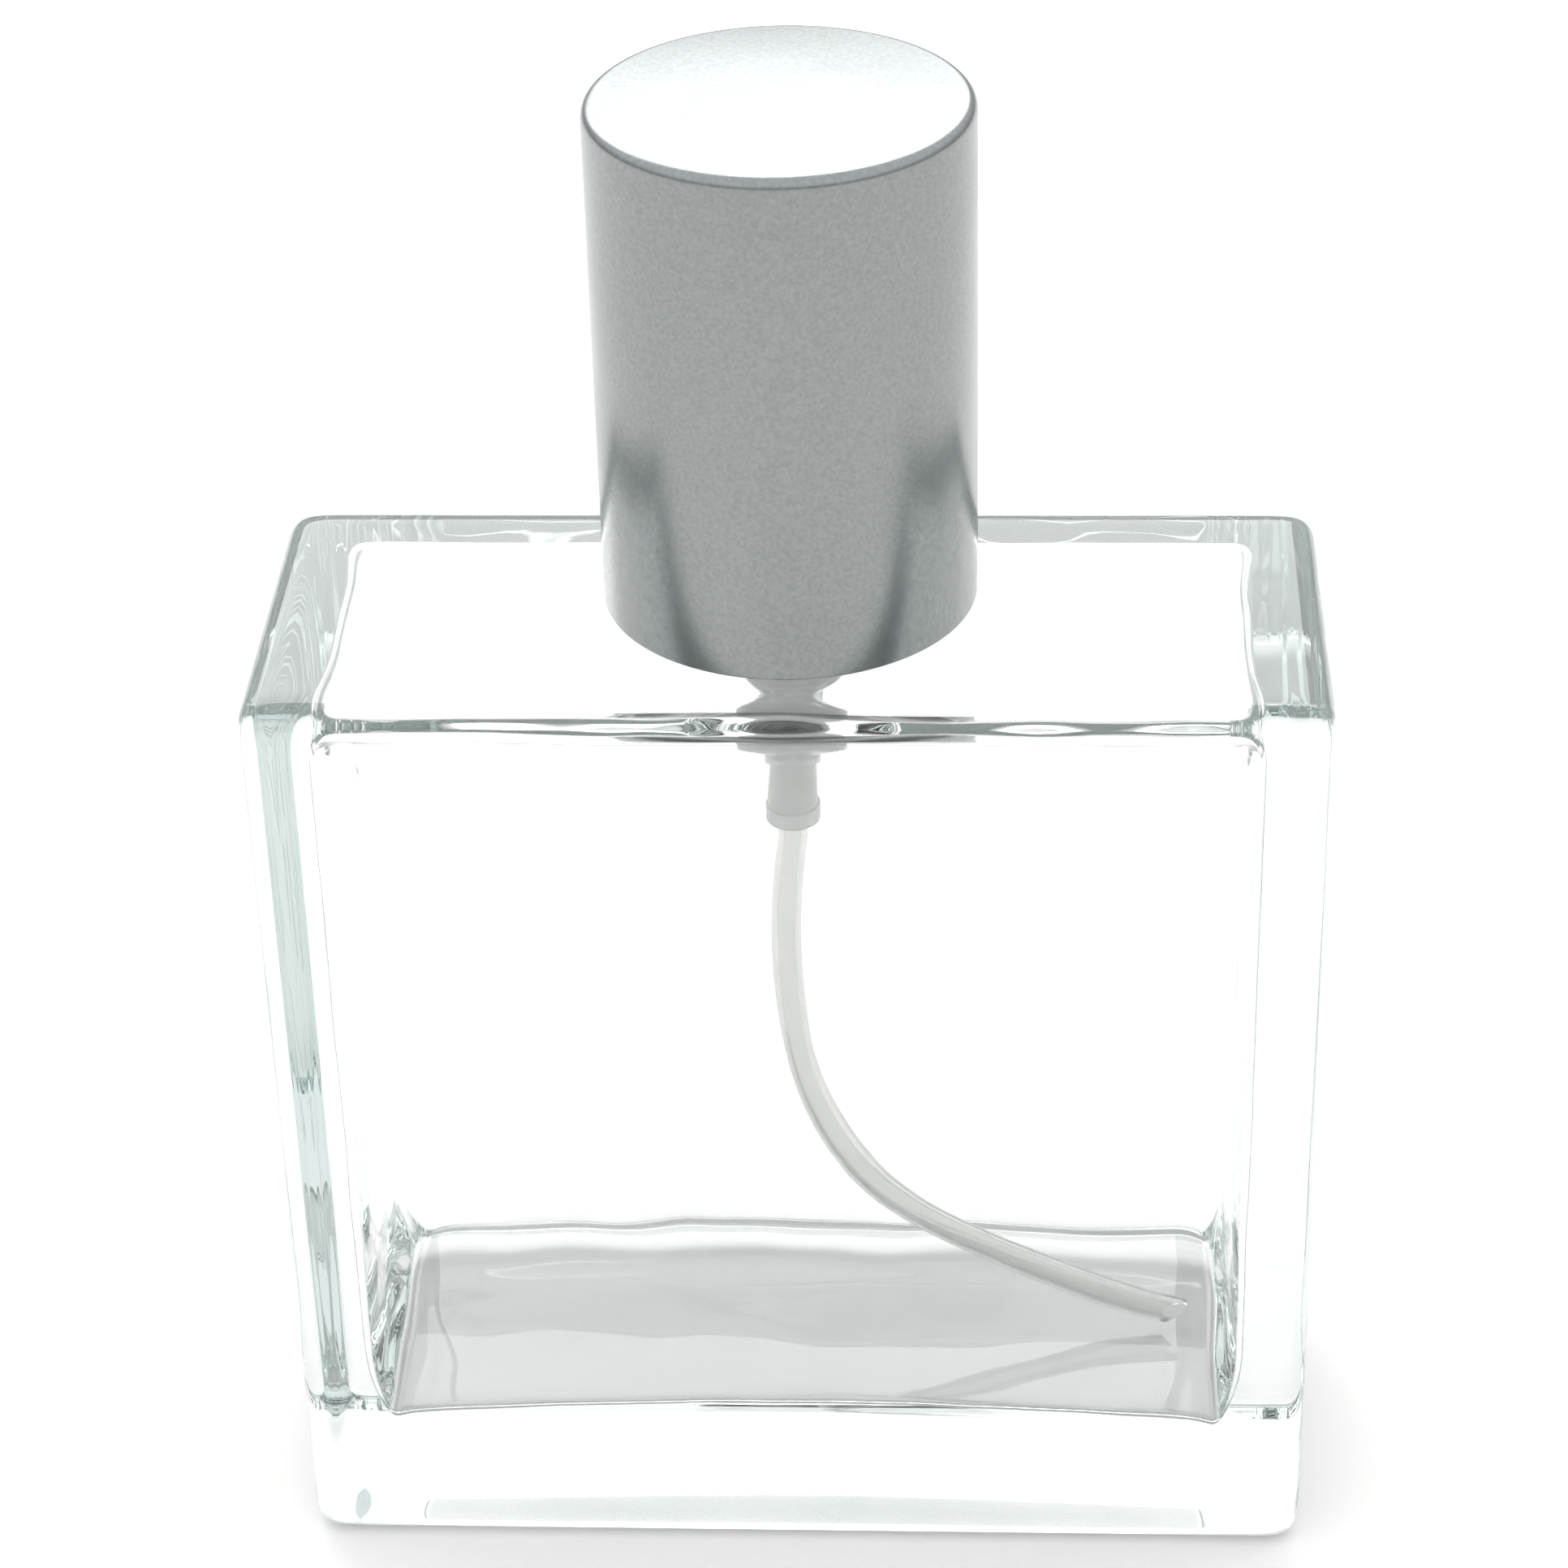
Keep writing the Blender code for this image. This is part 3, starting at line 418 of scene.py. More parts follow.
# Stainless ball, lapped: close to a mirror.
valve_steel = worked_finish(
    "valve_steel", ("#CCCDCF", "#D2D3D5"), (0.05, 0.12), (0.8 * MM, 0.4 * MM, 0.4 * MM), 0.0005 * MM,
    Metallic=1.0,
)
# Natural polypropylene, moulded without pigment: cloudy white, and a little light passes through.
natural_polypropylene = worked_finish(
    "natural_polypropylene", ("#F5F7F6", "#FCFDFC"), (0.12, 0.22), (2.4 * MM, 2.4 * MM, 0.35 * MM),
    0.006 * MM, IOR=1.49, Transmission_Weight=0.4,
)
# Natural polyethylene, extruded thin: milky clear, bright in the middle and grey along its outline.
natural_polyethylene = worked_finish(
    "natural_polyethylene", ("#FAFBFA", "#FFFFFE"), (0.08, 0.16), (1.8 * MM, 1.8 * MM, 0.35 * MM),
    0.005 * MM, IOR=1.51, Transmission_Weight=0.8,
)
# White acetal, moulded: opaque, smooth and slightly waxy.
white_acetal = worked_finish(
    "white_acetal", ("#E4E5E1", "#EFF0ED"), (0.3, 0.42), (3 * MM, 3 * MM, 0.35 * MM), 0.004 * MM,
    IOR=1.48, Subsurface_Weight=0.15, Subsurface_Scale=0.6 * MM,
)
# White butyl rubber, stamped from sheet: matt, with a dusty bloom.
gasket_rubber = worked_finish(
    "gasket_rubber", ("#DCDCD8", "#E8E8E5"), (0.54, 0.66), (0.9 * MM, 0.9 * MM, 0.35 * MM), 0.01 * MM,
    IOR=1.5,
)

# Flint glass, pressed and blown, then fire-polished: clear and sharp, pale grey-green where it is thick.
GLASS_TINT = "#C9D7D4"
GLASS_TINT_DENSITY = 12.0
flint_glass = bpy.data.materials.new("flint_glass")
flint_glass.use_nodes = True
tree = flint_glass.node_tree
shader = tree.nodes["Principled BSDF"]
shader.inputs["Base Color"].default_value = linear("#FFFFFF")
shader.inputs["Roughness"].default_value = 0.0
shader.inputs["IOR"].default_value = 1.52
shader.inputs["Transmission Weight"].default_value = 1.0
place = add_node(tree, "ShaderNodeTexCoord").outputs["Object"]
ripple = add_node(
    tree, "ShaderNodeTexNoise", {"Vector": place, "Scale": 1 / (9 * MM), "Detail": 1.0}
).outputs["Fac"]
relief = add_node(tree, "ShaderNodeBump", {"Height": ripple, "Distance": 0.02 * MM})
tree.links.new(relief.outputs["Normal"], shader.inputs["Normal"])
tint = add_node(
    tree, "ShaderNodeVolumeAbsorption", {"Color": linear(GLASS_TINT), "Density": GLASS_TINT_DENSITY}
)
tree.links.new(tint.outputs["Volume"], tree.nodes["Material Output"].inputs["Volume"])


# ---------------------------------------------------------------- glass bottle

def block_with_mouth(name, low, high, cuts_x, cuts_y, cuts_z, mouth):
    """A gridded block whose top has a round hole of the given cage radius, ready to be extruded."""
    size = Vector(high) - Vector(low)
    piece = new_primitive(
        bpy.ops.mesh.primitive_cube_add, size=1, location=(Vector(low) + Vector(high)) / 2, scale=size
    )
    piece.name = name
    piece.data.name = name
    half = mouth / 1.1
    steps = [-half, -half * MOUTH_STEP, 0, half * MOUTH_STEP, half]
    edit(piece)
    bpy.ops.object.mode_set(mode="EDIT")
    for axis, cuts in enumerate((list(cuts_x) + steps, list(cuts_y) + steps, list(cuts_z))):
        normal = [0, 0, 0]
        normal[axis] = 1
        for cut in cuts:
            bpy.ops.mesh.select_all(action="SELECT")
            bpy.ops.mesh.bisect(plane_co=[cut * share for share in normal], plane_no=normal)
    done()
    inside = half + WELD
    pick_faces(
        piece, lambda centre, normal: normal.z > 0.5 and abs(centre.x) < inside and abs(centre.y) < inside
    )
    bpy.ops.mesh.delete(type="FACE")
    done()
    pick_points(
        piece,
        lambda at: abs(at.z - high[2]) < WELD and abs(at.x) < inside and abs(at.y) < inside,
    )
    bpy.ops.transform.tosphere(value=1.0)
    done()
    found = [math.hypot(point.co.x, point.co.y) for point in piece.data.vertices if point.select]
    fit = mouth / (sum(found) / len(found))
    bpy.ops.object.mode_set(mode="EDIT")
    bpy.ops.transform.resize(value=(fit, fit, 1), center_override=(0, 0, high[2]))
    done()
    return piece


def draw_mouth(piece, start, rings):
    """Extrudes the round hole's edge through (radius, height) rings. start is its own radius and height."""
    radius, height = start
    pick_points(
        piece,
        lambda at: abs(at.z - height) < WELD and abs(math.hypot(at.x, at.y) - radius) < 20 * WELD,
    )
    bpy.ops.mesh.select_mode(type="EDGE")
    for next_radius, next_height in rings:
        bpy.ops.mesh.extrude_region_move(
            TRANSFORM_OT_translate={"value": (0, 0, next_height - height)}
        )
        fit = next_radius / radius
        bpy.ops.transform.resize(value=(fit, fit, 1), center_override=(0, 0, next_height))
        radius, height = next_radius, next_height
    done()


def cage(radius):
    """The cage radius that a subdivided ring of the mouth's sides needs to end at this radius."""
    return radius / RING_SHRINK


def sides_of(half, *loops):
    return [side * (half - loop) for side in (-1, 1) for loop in loops]


def move_points(piece, wanted, by):
    pick_points(piece, wanted)
    bpy.ops.transform.translate(value=by)
    done()


def shape_cavity(cavity, half_x, half_y, top):
    """Gives the plain block of air a blown bottle's arched floor, thickening faces and swollen sides."""
    rise = FLOOR_MIDDLE - FLOOR_END
    for reach, share in FLOOR_STEPS:
        move_points(
            cavity,
            lambda at: at.z < FLOOR_END + rise + WELD and abs(at.x) < reach * MM,
            (0, 0, rise * share),
        )
    # The faces thicken towards the floor.
    middle = (FLOOR_END + top) / 2
    low = FACE_WALL_LOW - FACE_WALL
    for height, share in ((middle, 0.5), (FLOOR_END + FACE_STEP_HEIGHT, 0.5)):
        for side in (-1, 1):
            move_points(
                cavity,
                lambda at: at.z < height and side * at.y > half_y - low - WELD,
                (0, -side * low * share, 0),
            )
    # The sides belly in between the corners, and the lower corners are heavy.
    for side in (-1, 1):
        move_points(
            cavity,
            lambda at: side * at.x > half_x - WELD
            and abs(at.y) < BELLY_REACH * half_y
            and at.z > FLOOR_END + BELLY_START,
            (-side * BELLY, 0, 0),
        )
        move_points(
            cavity,
            lambda at: side * at.x > half_x - WELD and at.z < FLOOR_END + HEAVY_CORNER_HEIGHT,
            (-side * HEAVY_CORNER, 0, 0),
        )


def build_glass():
    edge = EDGE_LOOP
    outer_mouth = cage(NECK_FOOT_RADIUS)
    body = block_with_mouth(
        "glass_bottle_body",
        (-HALF_WIDTH, -HALF_DEPTH, 0),
        (HALF_WIDTH, HALF_DEPTH, SHOULDER),
        sides_of(HALF_WIDTH, edge, 2 * edge),
        sides_of(HALF_DEPTH, edge),
        [edge, 2 * edge, SHOULDER - 2 * edge, SHOULDER - edge],
        outer_mouth,
    )
    draw_mouth(
        body,
        (outer_mouth, SHOULDER),
        [
            (cage(NECK_FILLET_RADII[0]), SHOULDER),
            (cage(NECK_FILLET_RADII[1]), SHOULDER + 0.2 * MM),
            (cage(NECK_RADIUS), SHOULDER + 1.3 * MM),
            (cage(NECK_RADIUS), LIP_EDGE - 1.2 * MM),
            (cage(LIP_RADIUS), LIP_EDGE - 0.1 * MM),
            (cage(LIP_RADIUS), LIP_EDGE + 0.5 * MM),
            (cage(LIP_RADIUS), LIP_TOP - 0.8 * MM),
            (cage(LIP_RADIUS), LIP_TOP),
            (cage(LIP_RADIUS - 0.8 * MM), LIP_TOP),
            (cage(BORE_RADIUS + 0.6 * MM), LIP_TOP),
            (cage(BORE_RADIUS), LIP_TOP),
            (cage(BORE_RADIUS), LIP_TOP - BORE_EDGE),
        ],
    )
    # The recess under the base leaves a rim to stand on.
    rim = 1.5 * edge
    for reach_x, reach_y in (
        (HALF_WIDTH - rim, HALF_DEPTH - rim),
        (HALF_WIDTH / 2, HALF_DEPTH / 2),
    ):
        move_points(
            body,
            lambda at: abs(at.z) < WELD + RECESS_DEPTH / 2 and abs(at.x) < reach_x and abs(at.y) < reach_y,
            (0, 0, RECESS_DEPTH / 2),
        )

    cavity_top = SHOULDER - SHOULDER_WALL
    cavity_mouth = cage(BORE_FLARE_RADII[0])
    half_x = HALF_WIDTH - SIDE_WALL
    half_y = HALF_DEPTH - FACE_WALL
    loop = CAVITY_LOOP
    cavity = block_with_mouth(
        "glass_bottle_cavity",
        (-half_x, -half_y, FLOOR_END),
        (half_x, half_y, cavity_top),
        sides_of(half_x, loop, 2.2 * loop) + [-CAVITY_MIDDLE_CUT, CAVITY_MIDDLE_CUT],
        sides_of(half_y, loop),
        [
            FLOOR_END + LOW_CUTS[0],
            FLOOR_END + LOW_CUTS[1],
            SHOULDER / 2,
            cavity_top - 2.2 * loop,
            cavity_top - loop,
        ],
        cavity_mouth,
    )
    shape_cavity(cavity, half_x, half_y, cavity_top)
    draw_mouth(
        cavity,
        (cavity_mouth, cavity_top),
        [
            (cage(BORE_FLARE_RADII[1]), cavity_top + 0.1 * MM),
            (cage(BORE_RADIUS), cavity_top + 0.8 * MM),
            (cage(BORE_RADIUS), cavity_top + BORE_START),
        ],
    )
    edit_all(cavity)
    bpy.ops.mesh.flip_normals()
    done()
    group = cavity.vertex_groups.new(name="inside")
    walls = [point.index for point in cavity.data.vertices if point.co.z < cavity_top + WELD]
    group.add(walls, 1.0, "REPLACE")

    bpy.ops.object.select_all(action="DESELECT")
    cavity.select_set(True)
    body.select_set(True)
    bpy.context.view_layer.objects.active = body
    bpy.ops.object.join()
    bore = cage(BORE_RADIUS)
    upper = LIP_TOP - BORE_EDGE
    lower = cavity_top + BORE_START
    pick_points(
        body,
        lambda at: abs(math.hypot(at.x, at.y) - bore) < 20 * WELD
        and (abs(at.z - upper) < WELD or abs(at.z - lower) < WELD),
    )
    bpy.ops.mesh.select_mode(type="EDGE")
    bpy.ops.mesh.bridge_edge_loops()
    done()
    mend(body)
    apply_modifier(body, "SUBSURF", levels=GLASS_LEVELS, render_levels=GLASS_LEVELS)
    chill = bpy.data.textures.new("uneven_chill", "CLOUDS")
    chill.noise_scale = WALL_WAVE_LENGTH
    chill.noise_depth = 1
    apply_modifier(
        body, "DISPLACE", texture=chill, texture_coords="LOCAL", strength=WALL_WAVE, mid_level=0.5,
        vertex_group="inside",
    )
    bpy.ops.object.select_all(action="DESELECT")
    body.select_set(True)
    bpy.ops.object.shade_smooth()
    return fit_out(body, "bottle", "flint_glass", flint_glass, "glass_bottle")


# ---------------------------------------------------------------- overcap

def build_overcap():
    radius = cap_high.x
    shell = turned(
        "overcap_shell_drawn",
        [
            (0, cap_high.z),
            (radius, cap_high.z, CAP_EDGE),
            (radius, cap_low.z),
            (radius - CAP_WALL, cap_low.z),
            (radius - CAP_WALL, cap_high.z - CAP_WALL, CAP_EDGE - CAP_WALL),
            (0, cap_high.z - CAP_WALL),
        ],
        SOFT_CORNER,
        WIDE_SIDES,
    )
    fit_out(shell, "overcap", "anodised_aluminium", anodised_aluminium, "overcap_shell")

    radius = cap_liner_high.x
    bore = radius - CAP_LINER_WALL
    ledge_low = collar_high.z + SEAT_GAP
    ledge_radius = collar_high.x - CAP_LEDGE_REACH
    ceiling = cap_liner_high.z - CAP_LINER_TOP
    rib_low = cap_liner_low.z + GRIP_RIB_MARGIN
    rib_high = ledge_low - GRIP_RIB_MARGIN
    sides = 12 * GRIP_RIBS
    liner = turned(
        "overcap_liner_moulded",
        [
            (0, cap_liner_high.z),
            (radius, cap_liner_high.z, CAP_EDGE),
            (radius, cap_liner_low.z),
            (bore, cap_liner_low.z, 2 * SOFT_CORNER),
            (bore, rib_low, 0),
            (bore, rib_high, 0),
            (bore, ledge_low),
            (ledge_radius, ledge_low),
            (ledge_radius, ledge_low + CAP_LEDGE),
            (bore, ledge_low + 2 * CAP_LEDGE),
            (bore, ceiling, 3 * SOFT_CORNER),
            (0, ceiling),
        ],
        SOFT_CORNER,
        sides,
    )
    spacing = 360 / GRIP_RIBS
    rib_reach = 360 / sides

    def on_rib(centre, normal):
        around = math.degrees(math.atan2(centre.y, centre.x))
        off = abs(around % spacing - spacing / 2)
        inward = centre.x * normal.x + centre.y * normal.y < 0
        return inward and rib_low < centre.z < rib_high and off < rib_reach

    pick_faces(liner, on_rib)
    bpy.ops.mesh.extrude_region_shrink_fatten(TRANSFORM_OT_shrink_fatten={"value": GRIP_RIB_HEIGHT})
    done()
    smooth(liner)
    fit_out(liner, "overcap", "natural_polypropylene", natural_polypropylene, "overcap_liner")


# ---------------------------------------------------------------- collar

def build_collar():
    radius, top, low = collar_high.x, collar_high.z, collar_low.z
    shell = turned(
        "collar_shell_drawn",
        [
            (OPENING_RADIUS, top),
            (radius, top, COLLAR_WALL),
            (radius, low),
            (radius - COLLAR_WALL, low),
            (radius - COLLAR_WALL, top - COLLAR_WALL),
            (OPENING_RADIUS, top - COLLAR_WALL),
        ],
        SOFT_CORNER,
        WIDE_SIDES,
    )
    fit_out(shell, "bottle", "anodised_aluminium", anodised_aluminium, "collar_shell")

    radius, top, low = collar_liner_high.x, collar_liner_high.z, collar_liner_low.z
    bore = radius - COLLAR_LINER_WALL
    snap_low = low + COLLAR_SNAP
    ledge_low = ferrule_high.z + SEAT_GAP
    liner = turned(
        "collar_liner_moulded",
        [
            (OPENING_RADIUS, top),
            (radius, top),
            (radius, low),
            (bore, low),
            (max(bore - COLLAR_SNAP, NECK_RADIUS + 1.5 * MM), snap_low),
            (bore, snap_low + COLLAR_SNAP),
            (bore, ledge_low),
            (OPENING_RADIUS, ledge_low),
            (OPENING_RADIUS, ledge_low + COLLAR_LEDGE),
            (bore, ledge_low + COLLAR_LEDGE),
            (bore, top - COLLAR_LEDGE),
            (OPENING_RADIUS, top - COLLAR_LEDGE),
        ],
        SOFT_CORNER,
    )
    fit_out(liner, "bottle", "natural_polypropylene", natural_polypropylene, "collar_liner")


# ---------------------------------------------------------------- ferrule, turret and gaskets

def build_neck_fittings():
    radius, top = ferrule_high.x, ferrule_high.z
    bore = radius - FERRULE_WALL
    hole = TURRET_RADIUS + FIT_GAP
    roll = LIP_EDGE - SEAT_GAP
    ferrule = turned(
        "crimp_ferrule_rolled",
        [
            (hole, top),
            (radius, top, FERRULE_WALL),
            (radius, roll, 0.4 * MM),
            (radius - FERRULE_CRIMP, ferrule_low.z),
            (bore - FERRULE_CRIMP, ferrule_low.z + FERRULE_WALL / 2),
            (bore, roll + FERRULE_WALL / 2, 0.2 * MM),
            (bore, top - FERRULE_WALL),
            (hole, top - FERRULE_WALL),
        ],
        SOFT_CORNER,
    )
    fit_out(ferrule, "bottle", "bare_aluminium", bare_aluminium, "crimp_ferrule")

    top, low = turret_high.z, turret_low.z
    turret = turned(
        "turret_moulded",
        [
            (STEM_GUIDE, top),
            (TURRET_RADIUS, top, 2 * SOFT_CORNER),
            (TURRET_RADIUS, low + TURRET_FLANGE),
            (turret_high.x, low + TURRET_FLANGE),
            (turret_high.x, low),
            (TURRET_LATCH_BORE, low),
            (TURRET_LATCH_BORE, low + TURRET_LATCH),
            (TURRET_BORE, low + TURRET_LATCH),
            (TURRET_BORE, top - TURRET_CEILING),
            (STEM_GUIDE, top - TURRET_CEILING),
        ],
        SOFT_CORNER,
    )
    fit_out(turret, "bottle", "white_acetal", white_acetal, "turret")

    for name, bore in (("neck_gasket", BORE_RADIUS), ("stem_gasket", STEM_GUIDE)):
        low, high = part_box(name)
        gasket = turned(
            name + "_stamped",
            [(bore, high.z), (high.x, high.z), (high.x, low.z), (bore, low.z)],
            SOFT_CORNER,
        )
        fit_out(gasket, "bottle", "gasket_rubber", gasket_rubber, name)


# ---------------------------------------------------------------- pump housing, stem and piston

def build_pump():
    top = housing_high.z
    nose_end = housing_low.z
    nose_top = nose_end + NOSE_LENGTH
    barrel_low = nose_top + BARREL_CONE
    barrel_floor = barrel_low + BARREL_FLOOR
    seat_low = nose_end + SOCKET_DEPTH + FLOW_LENGTH
    seat_top = seat_low + CHAMBER_RADIUS - FLOW_RADIUS
    chamber_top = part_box("inlet_ball")[1].z + BALL_LIFT + BALL_GAP
    housing = turned(
        "pump_housing_moulded",
        [
            (BARREL_RADIUS, top),
            (HOUSING_COLLAR_RADIUS, top),
            (HOUSING_COLLAR_RADIUS, top - HOUSING_COLLAR),
            (HOUSING_RADIUS, top - HOUSING_COLLAR),
            (HOUSING_RADIUS, barrel_low, 0.5 * MM),
            (NOSE_RING_RADIUS, nose_top),
            (NOSE_RING_RADIUS, nose_top - NOSE_RING),
            (NOSE_RADIUS, nose_top - NOSE_RING),
            (NOSE_RADIUS, nose_end + NOSE_FOOT),
            (NOSE_FOOT_RADIUS, nose_end + NOSE_FOOT, 0.05 * MM),
            (NOSE_FOOT_RADIUS, nose_end, 0.2 * MM),
            (SOCKET_RADIUS, nose_end),
            (SOCKET_RADIUS, nose_end + SOCKET_DEPTH),
            (FLOW_RADIUS, nose_end + SOCKET_DEPTH),
            (FLOW_RADIUS, seat_low),
            (CHAMBER_RADIUS, seat_top),
            (CHAMBER_RADIUS, chamber_top),
            (BALL_STOP_RADIUS, chamber_top),
            (BALL_STOP_RADIUS, barrel_floor),
            (BARREL_RADIUS, barrel_floor, 0.2 * MM),
        ],
        SOFT_CORNER,
        SMALL_SIDES,
    )
    fit_out(housing, "bottle", "natural_polypropylene", natural_polypropylene, "pump_housing")

    low = stem_low.z
    stem = turned(
        "upper_stem_moulded",
        [
            (STEM_BORE, stem_high.z),
            (STEM_RADIUS, stem_high.z, 2 * SOFT_CORNER),
            (STEM_RADIUS, low + STEM_FLANGE),
            (STEM_FLANGE_RADIUS, low + STEM_FLANGE),
            (STEM_FLANGE_RADIUS, low),
            (STEM_BORE, low),
        ],
        SOFT_CORNER,
        SMALL_SIDES,
    )
    fit_out(stem, "stem", "white_acetal", white_acetal, "upper_stem")

    rod_low, rod_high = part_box("lower_stem")
    poppet_low = rod_low.z + SPIGOT_LENGTH
    rod = turned(
        "lower_stem_moulded",
        [
            (0, rod_high.z),
            (ROD_RADIUS, rod_high.z),
            (ROD_RADIUS, poppet_low + POPPET_HEIGHT),
            (POPPET_RADIUS, poppet_low + POPPET_HEIGHT / 2),
            (POPPET_RADIUS, poppet_low),
            (SPIGOT_RADIUS, poppet_low),
            (SPIGOT_RADIUS, rod_low.z, 2 * SOFT_CORNER),
            (0, rod_low.z),
        ],
        SOFT_CORNER,
        SMALL_SIDES,
    )
    fit_out(rod, "stem", "white_acetal", white_acetal, "lower_stem")

    low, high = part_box("piston")
    waist = PISTON_RADIUS - PISTON_WAIST
    piston = turned(
        "piston_moulded",
        [
            (PISTON_BORE, high.z),
            (PISTON_RADIUS, high.z),
            (PISTON_RADIUS, high.z - PISTON_LIP),
            (waist, high.z - 1.5 * PISTON_LIP),
            (waist, low.z + 1.5 * PISTON_LIP),
            (PISTON_RADIUS, low.z + PISTON_LIP),
            (PISTON_RADIUS, low.z),
            (PISTON_BORE, low.z),
        ],
        SOFT_CORNER,
        SMALL_SIDES,
    )
    fit_out(piston, "piston", "natural_polyethylene", natural_polyethylene, "piston")


# ---------------------------------------------------------------- dip tube and springs

def swept(name, points, radius, resolution, capped):
    """A round section swept along a path, as a mesh. points are (place, handle in, handle out)."""
    bpy.ops.object.select_all(action="DESELECT")
    bpy.ops.curve.primitive_bezier_curve_add()
    piece = bpy.context.object
    piece.name = name
    curve = piece.data
    curve.resolution_u = resolution
    curve.bevel_depth = radius
    curve.bevel_resolution = 7
    curve.use_fill_caps = capped
    spline = curve.splines[0]
    spline.bezier_points.add(len(points) - 2)
    for knot, (place, handle_in, handle_out) in zip(spline.bezier_points, points):
        knot.handle_left_type = knot.handle_right_type = "FREE"
        knot.co, knot.handle_left, knot.handle_right = place, handle_in, handle_out
    bpy.ops.object.convert(target="MESH")
    piece = bpy.context.object
    piece.data.name = name
    return piece


def build_dip_tube():
    low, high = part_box("dip_tube")
    start = Vector((0, 0, housing_low.z - TUBE_STRAIGHT))
    end = Vector((TUBE_END_X, 0, TUBE_END_Z))
    drop = start.z - end.z
    first = Vector((-TUBE_BOW, 0, start.z - TUBE_FIRST_REACH * drop))
    second = Vector((TUBE_SECOND_SHIFT * end.x, 0, start.z - TUBE_SECOND_REACH * drop))
    top = Vector((0, 0, high.z))
    third = (start - top) / 3
    tube = swept(
        "dip_tube_extruded",
        [
            (top, top, top + third),
            (start, start - third, first),
            (end, second, end),
        ],
        TUBE_RADIUS,
        48,
        False,
    )
    # The low end is cut on the slant, so that it can't seal itself on the floor.
    along = (end - second).normalized()
    slant = Matrix.Rotation(math.radians(TUBE_CUT), 3, "Y") @ along
    cut_back = TUBE_RADIUS * math.tan(math.radians(TUBE_CUT))
    edit_all(tube)
    bpy.ops.mesh.bisect(plane_co=end - along * cut_back, plane_no=slant, clear_outer=True)
    done()
    apply_modifier(tube, "SOLIDIFY", thickness=TUBE_WALL, offset=-1, use_even_offset=True)
    smooth(tube)
    fit_out(tube, "bottle", "natural_polyethylene", natural_polyethylene, "dip_tube")


def coil(name, low, high, radius, wire, turns):
    """A compression spring: a closed turn at each end and an even pitch between."""
    closed = CLOSED_TURN * wire
    bottom, top = low + wire / 2, high - wire / 2
    pitch = (top - bottom - 2 * closed) / (turns - 2)
    knots = KNOTS_PER_TURN
    pull = radius * 4 / 3 * math.tan(math.pi / (2 * knots))
    points = []
    for step in range(turns * knots + 1):
        turn = step / knots
        if turn <= 1:
            height = bottom + closed * turn
        elif turn >= turns - 1:
            height = top - closed * (turns - turn)
        else:
            height = bottom + closed + pitch * (turn - 1)
        angle = 2 * math.pi * turn
        place = Vector((radius * math.cos(angle), radius * math.sin(angle), height))
        along = Vector((-math.sin(angle), math.cos(angle), 0)) * pull
        points.append((place, place - along, place + along))
    spring = swept(name, points, wire / 2, 4, True)
    mend(spring)
    smooth(spring)
    return spring


def build_springs():
    spring = coil(
        "return_spring_coiled", return_low.z, return_high.z, RETURN_COIL, RETURN_WIRE, RETURN_TURNS
    )
    fit_out(spring, "bottle", "spring_steel", spring_steel, "return_spring")
    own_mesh(spring)
    spring = coil("precompression_spring_coiled", slip_low.z, slip_high.z, SLIP_COIL, SLIP_WIRE, SLIP_TURNS)
    fit_out(spring, "stem", "spring_steel", spring_steel, "precompression_spring")
    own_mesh(spring)


# ---------------------------------------------------------------- button, sleeve and spray insert

def cut_round(piece, radius, near, far, height):
    """Cuts a round hole along -Y into the piece, between two distances in front of the axis."""
    cutter = new_primitive(
        bpy.ops.mesh.primitive_cylinder_add,
        vertices=HOLE_SIDES,
        radius=radius,
        depth=far - near,
        location=(0, -(near + far) / 2, height),
        rotation=(math.radians(90), 0, 0),
    )
    apply_modifier(piece, "BOOLEAN", object=cutter, operation="DIFFERENCE", solver="EXACT")
    bpy.data.objects.remove(cutter, do_unlink=True)
    mend(piece)
    smooth(piece)


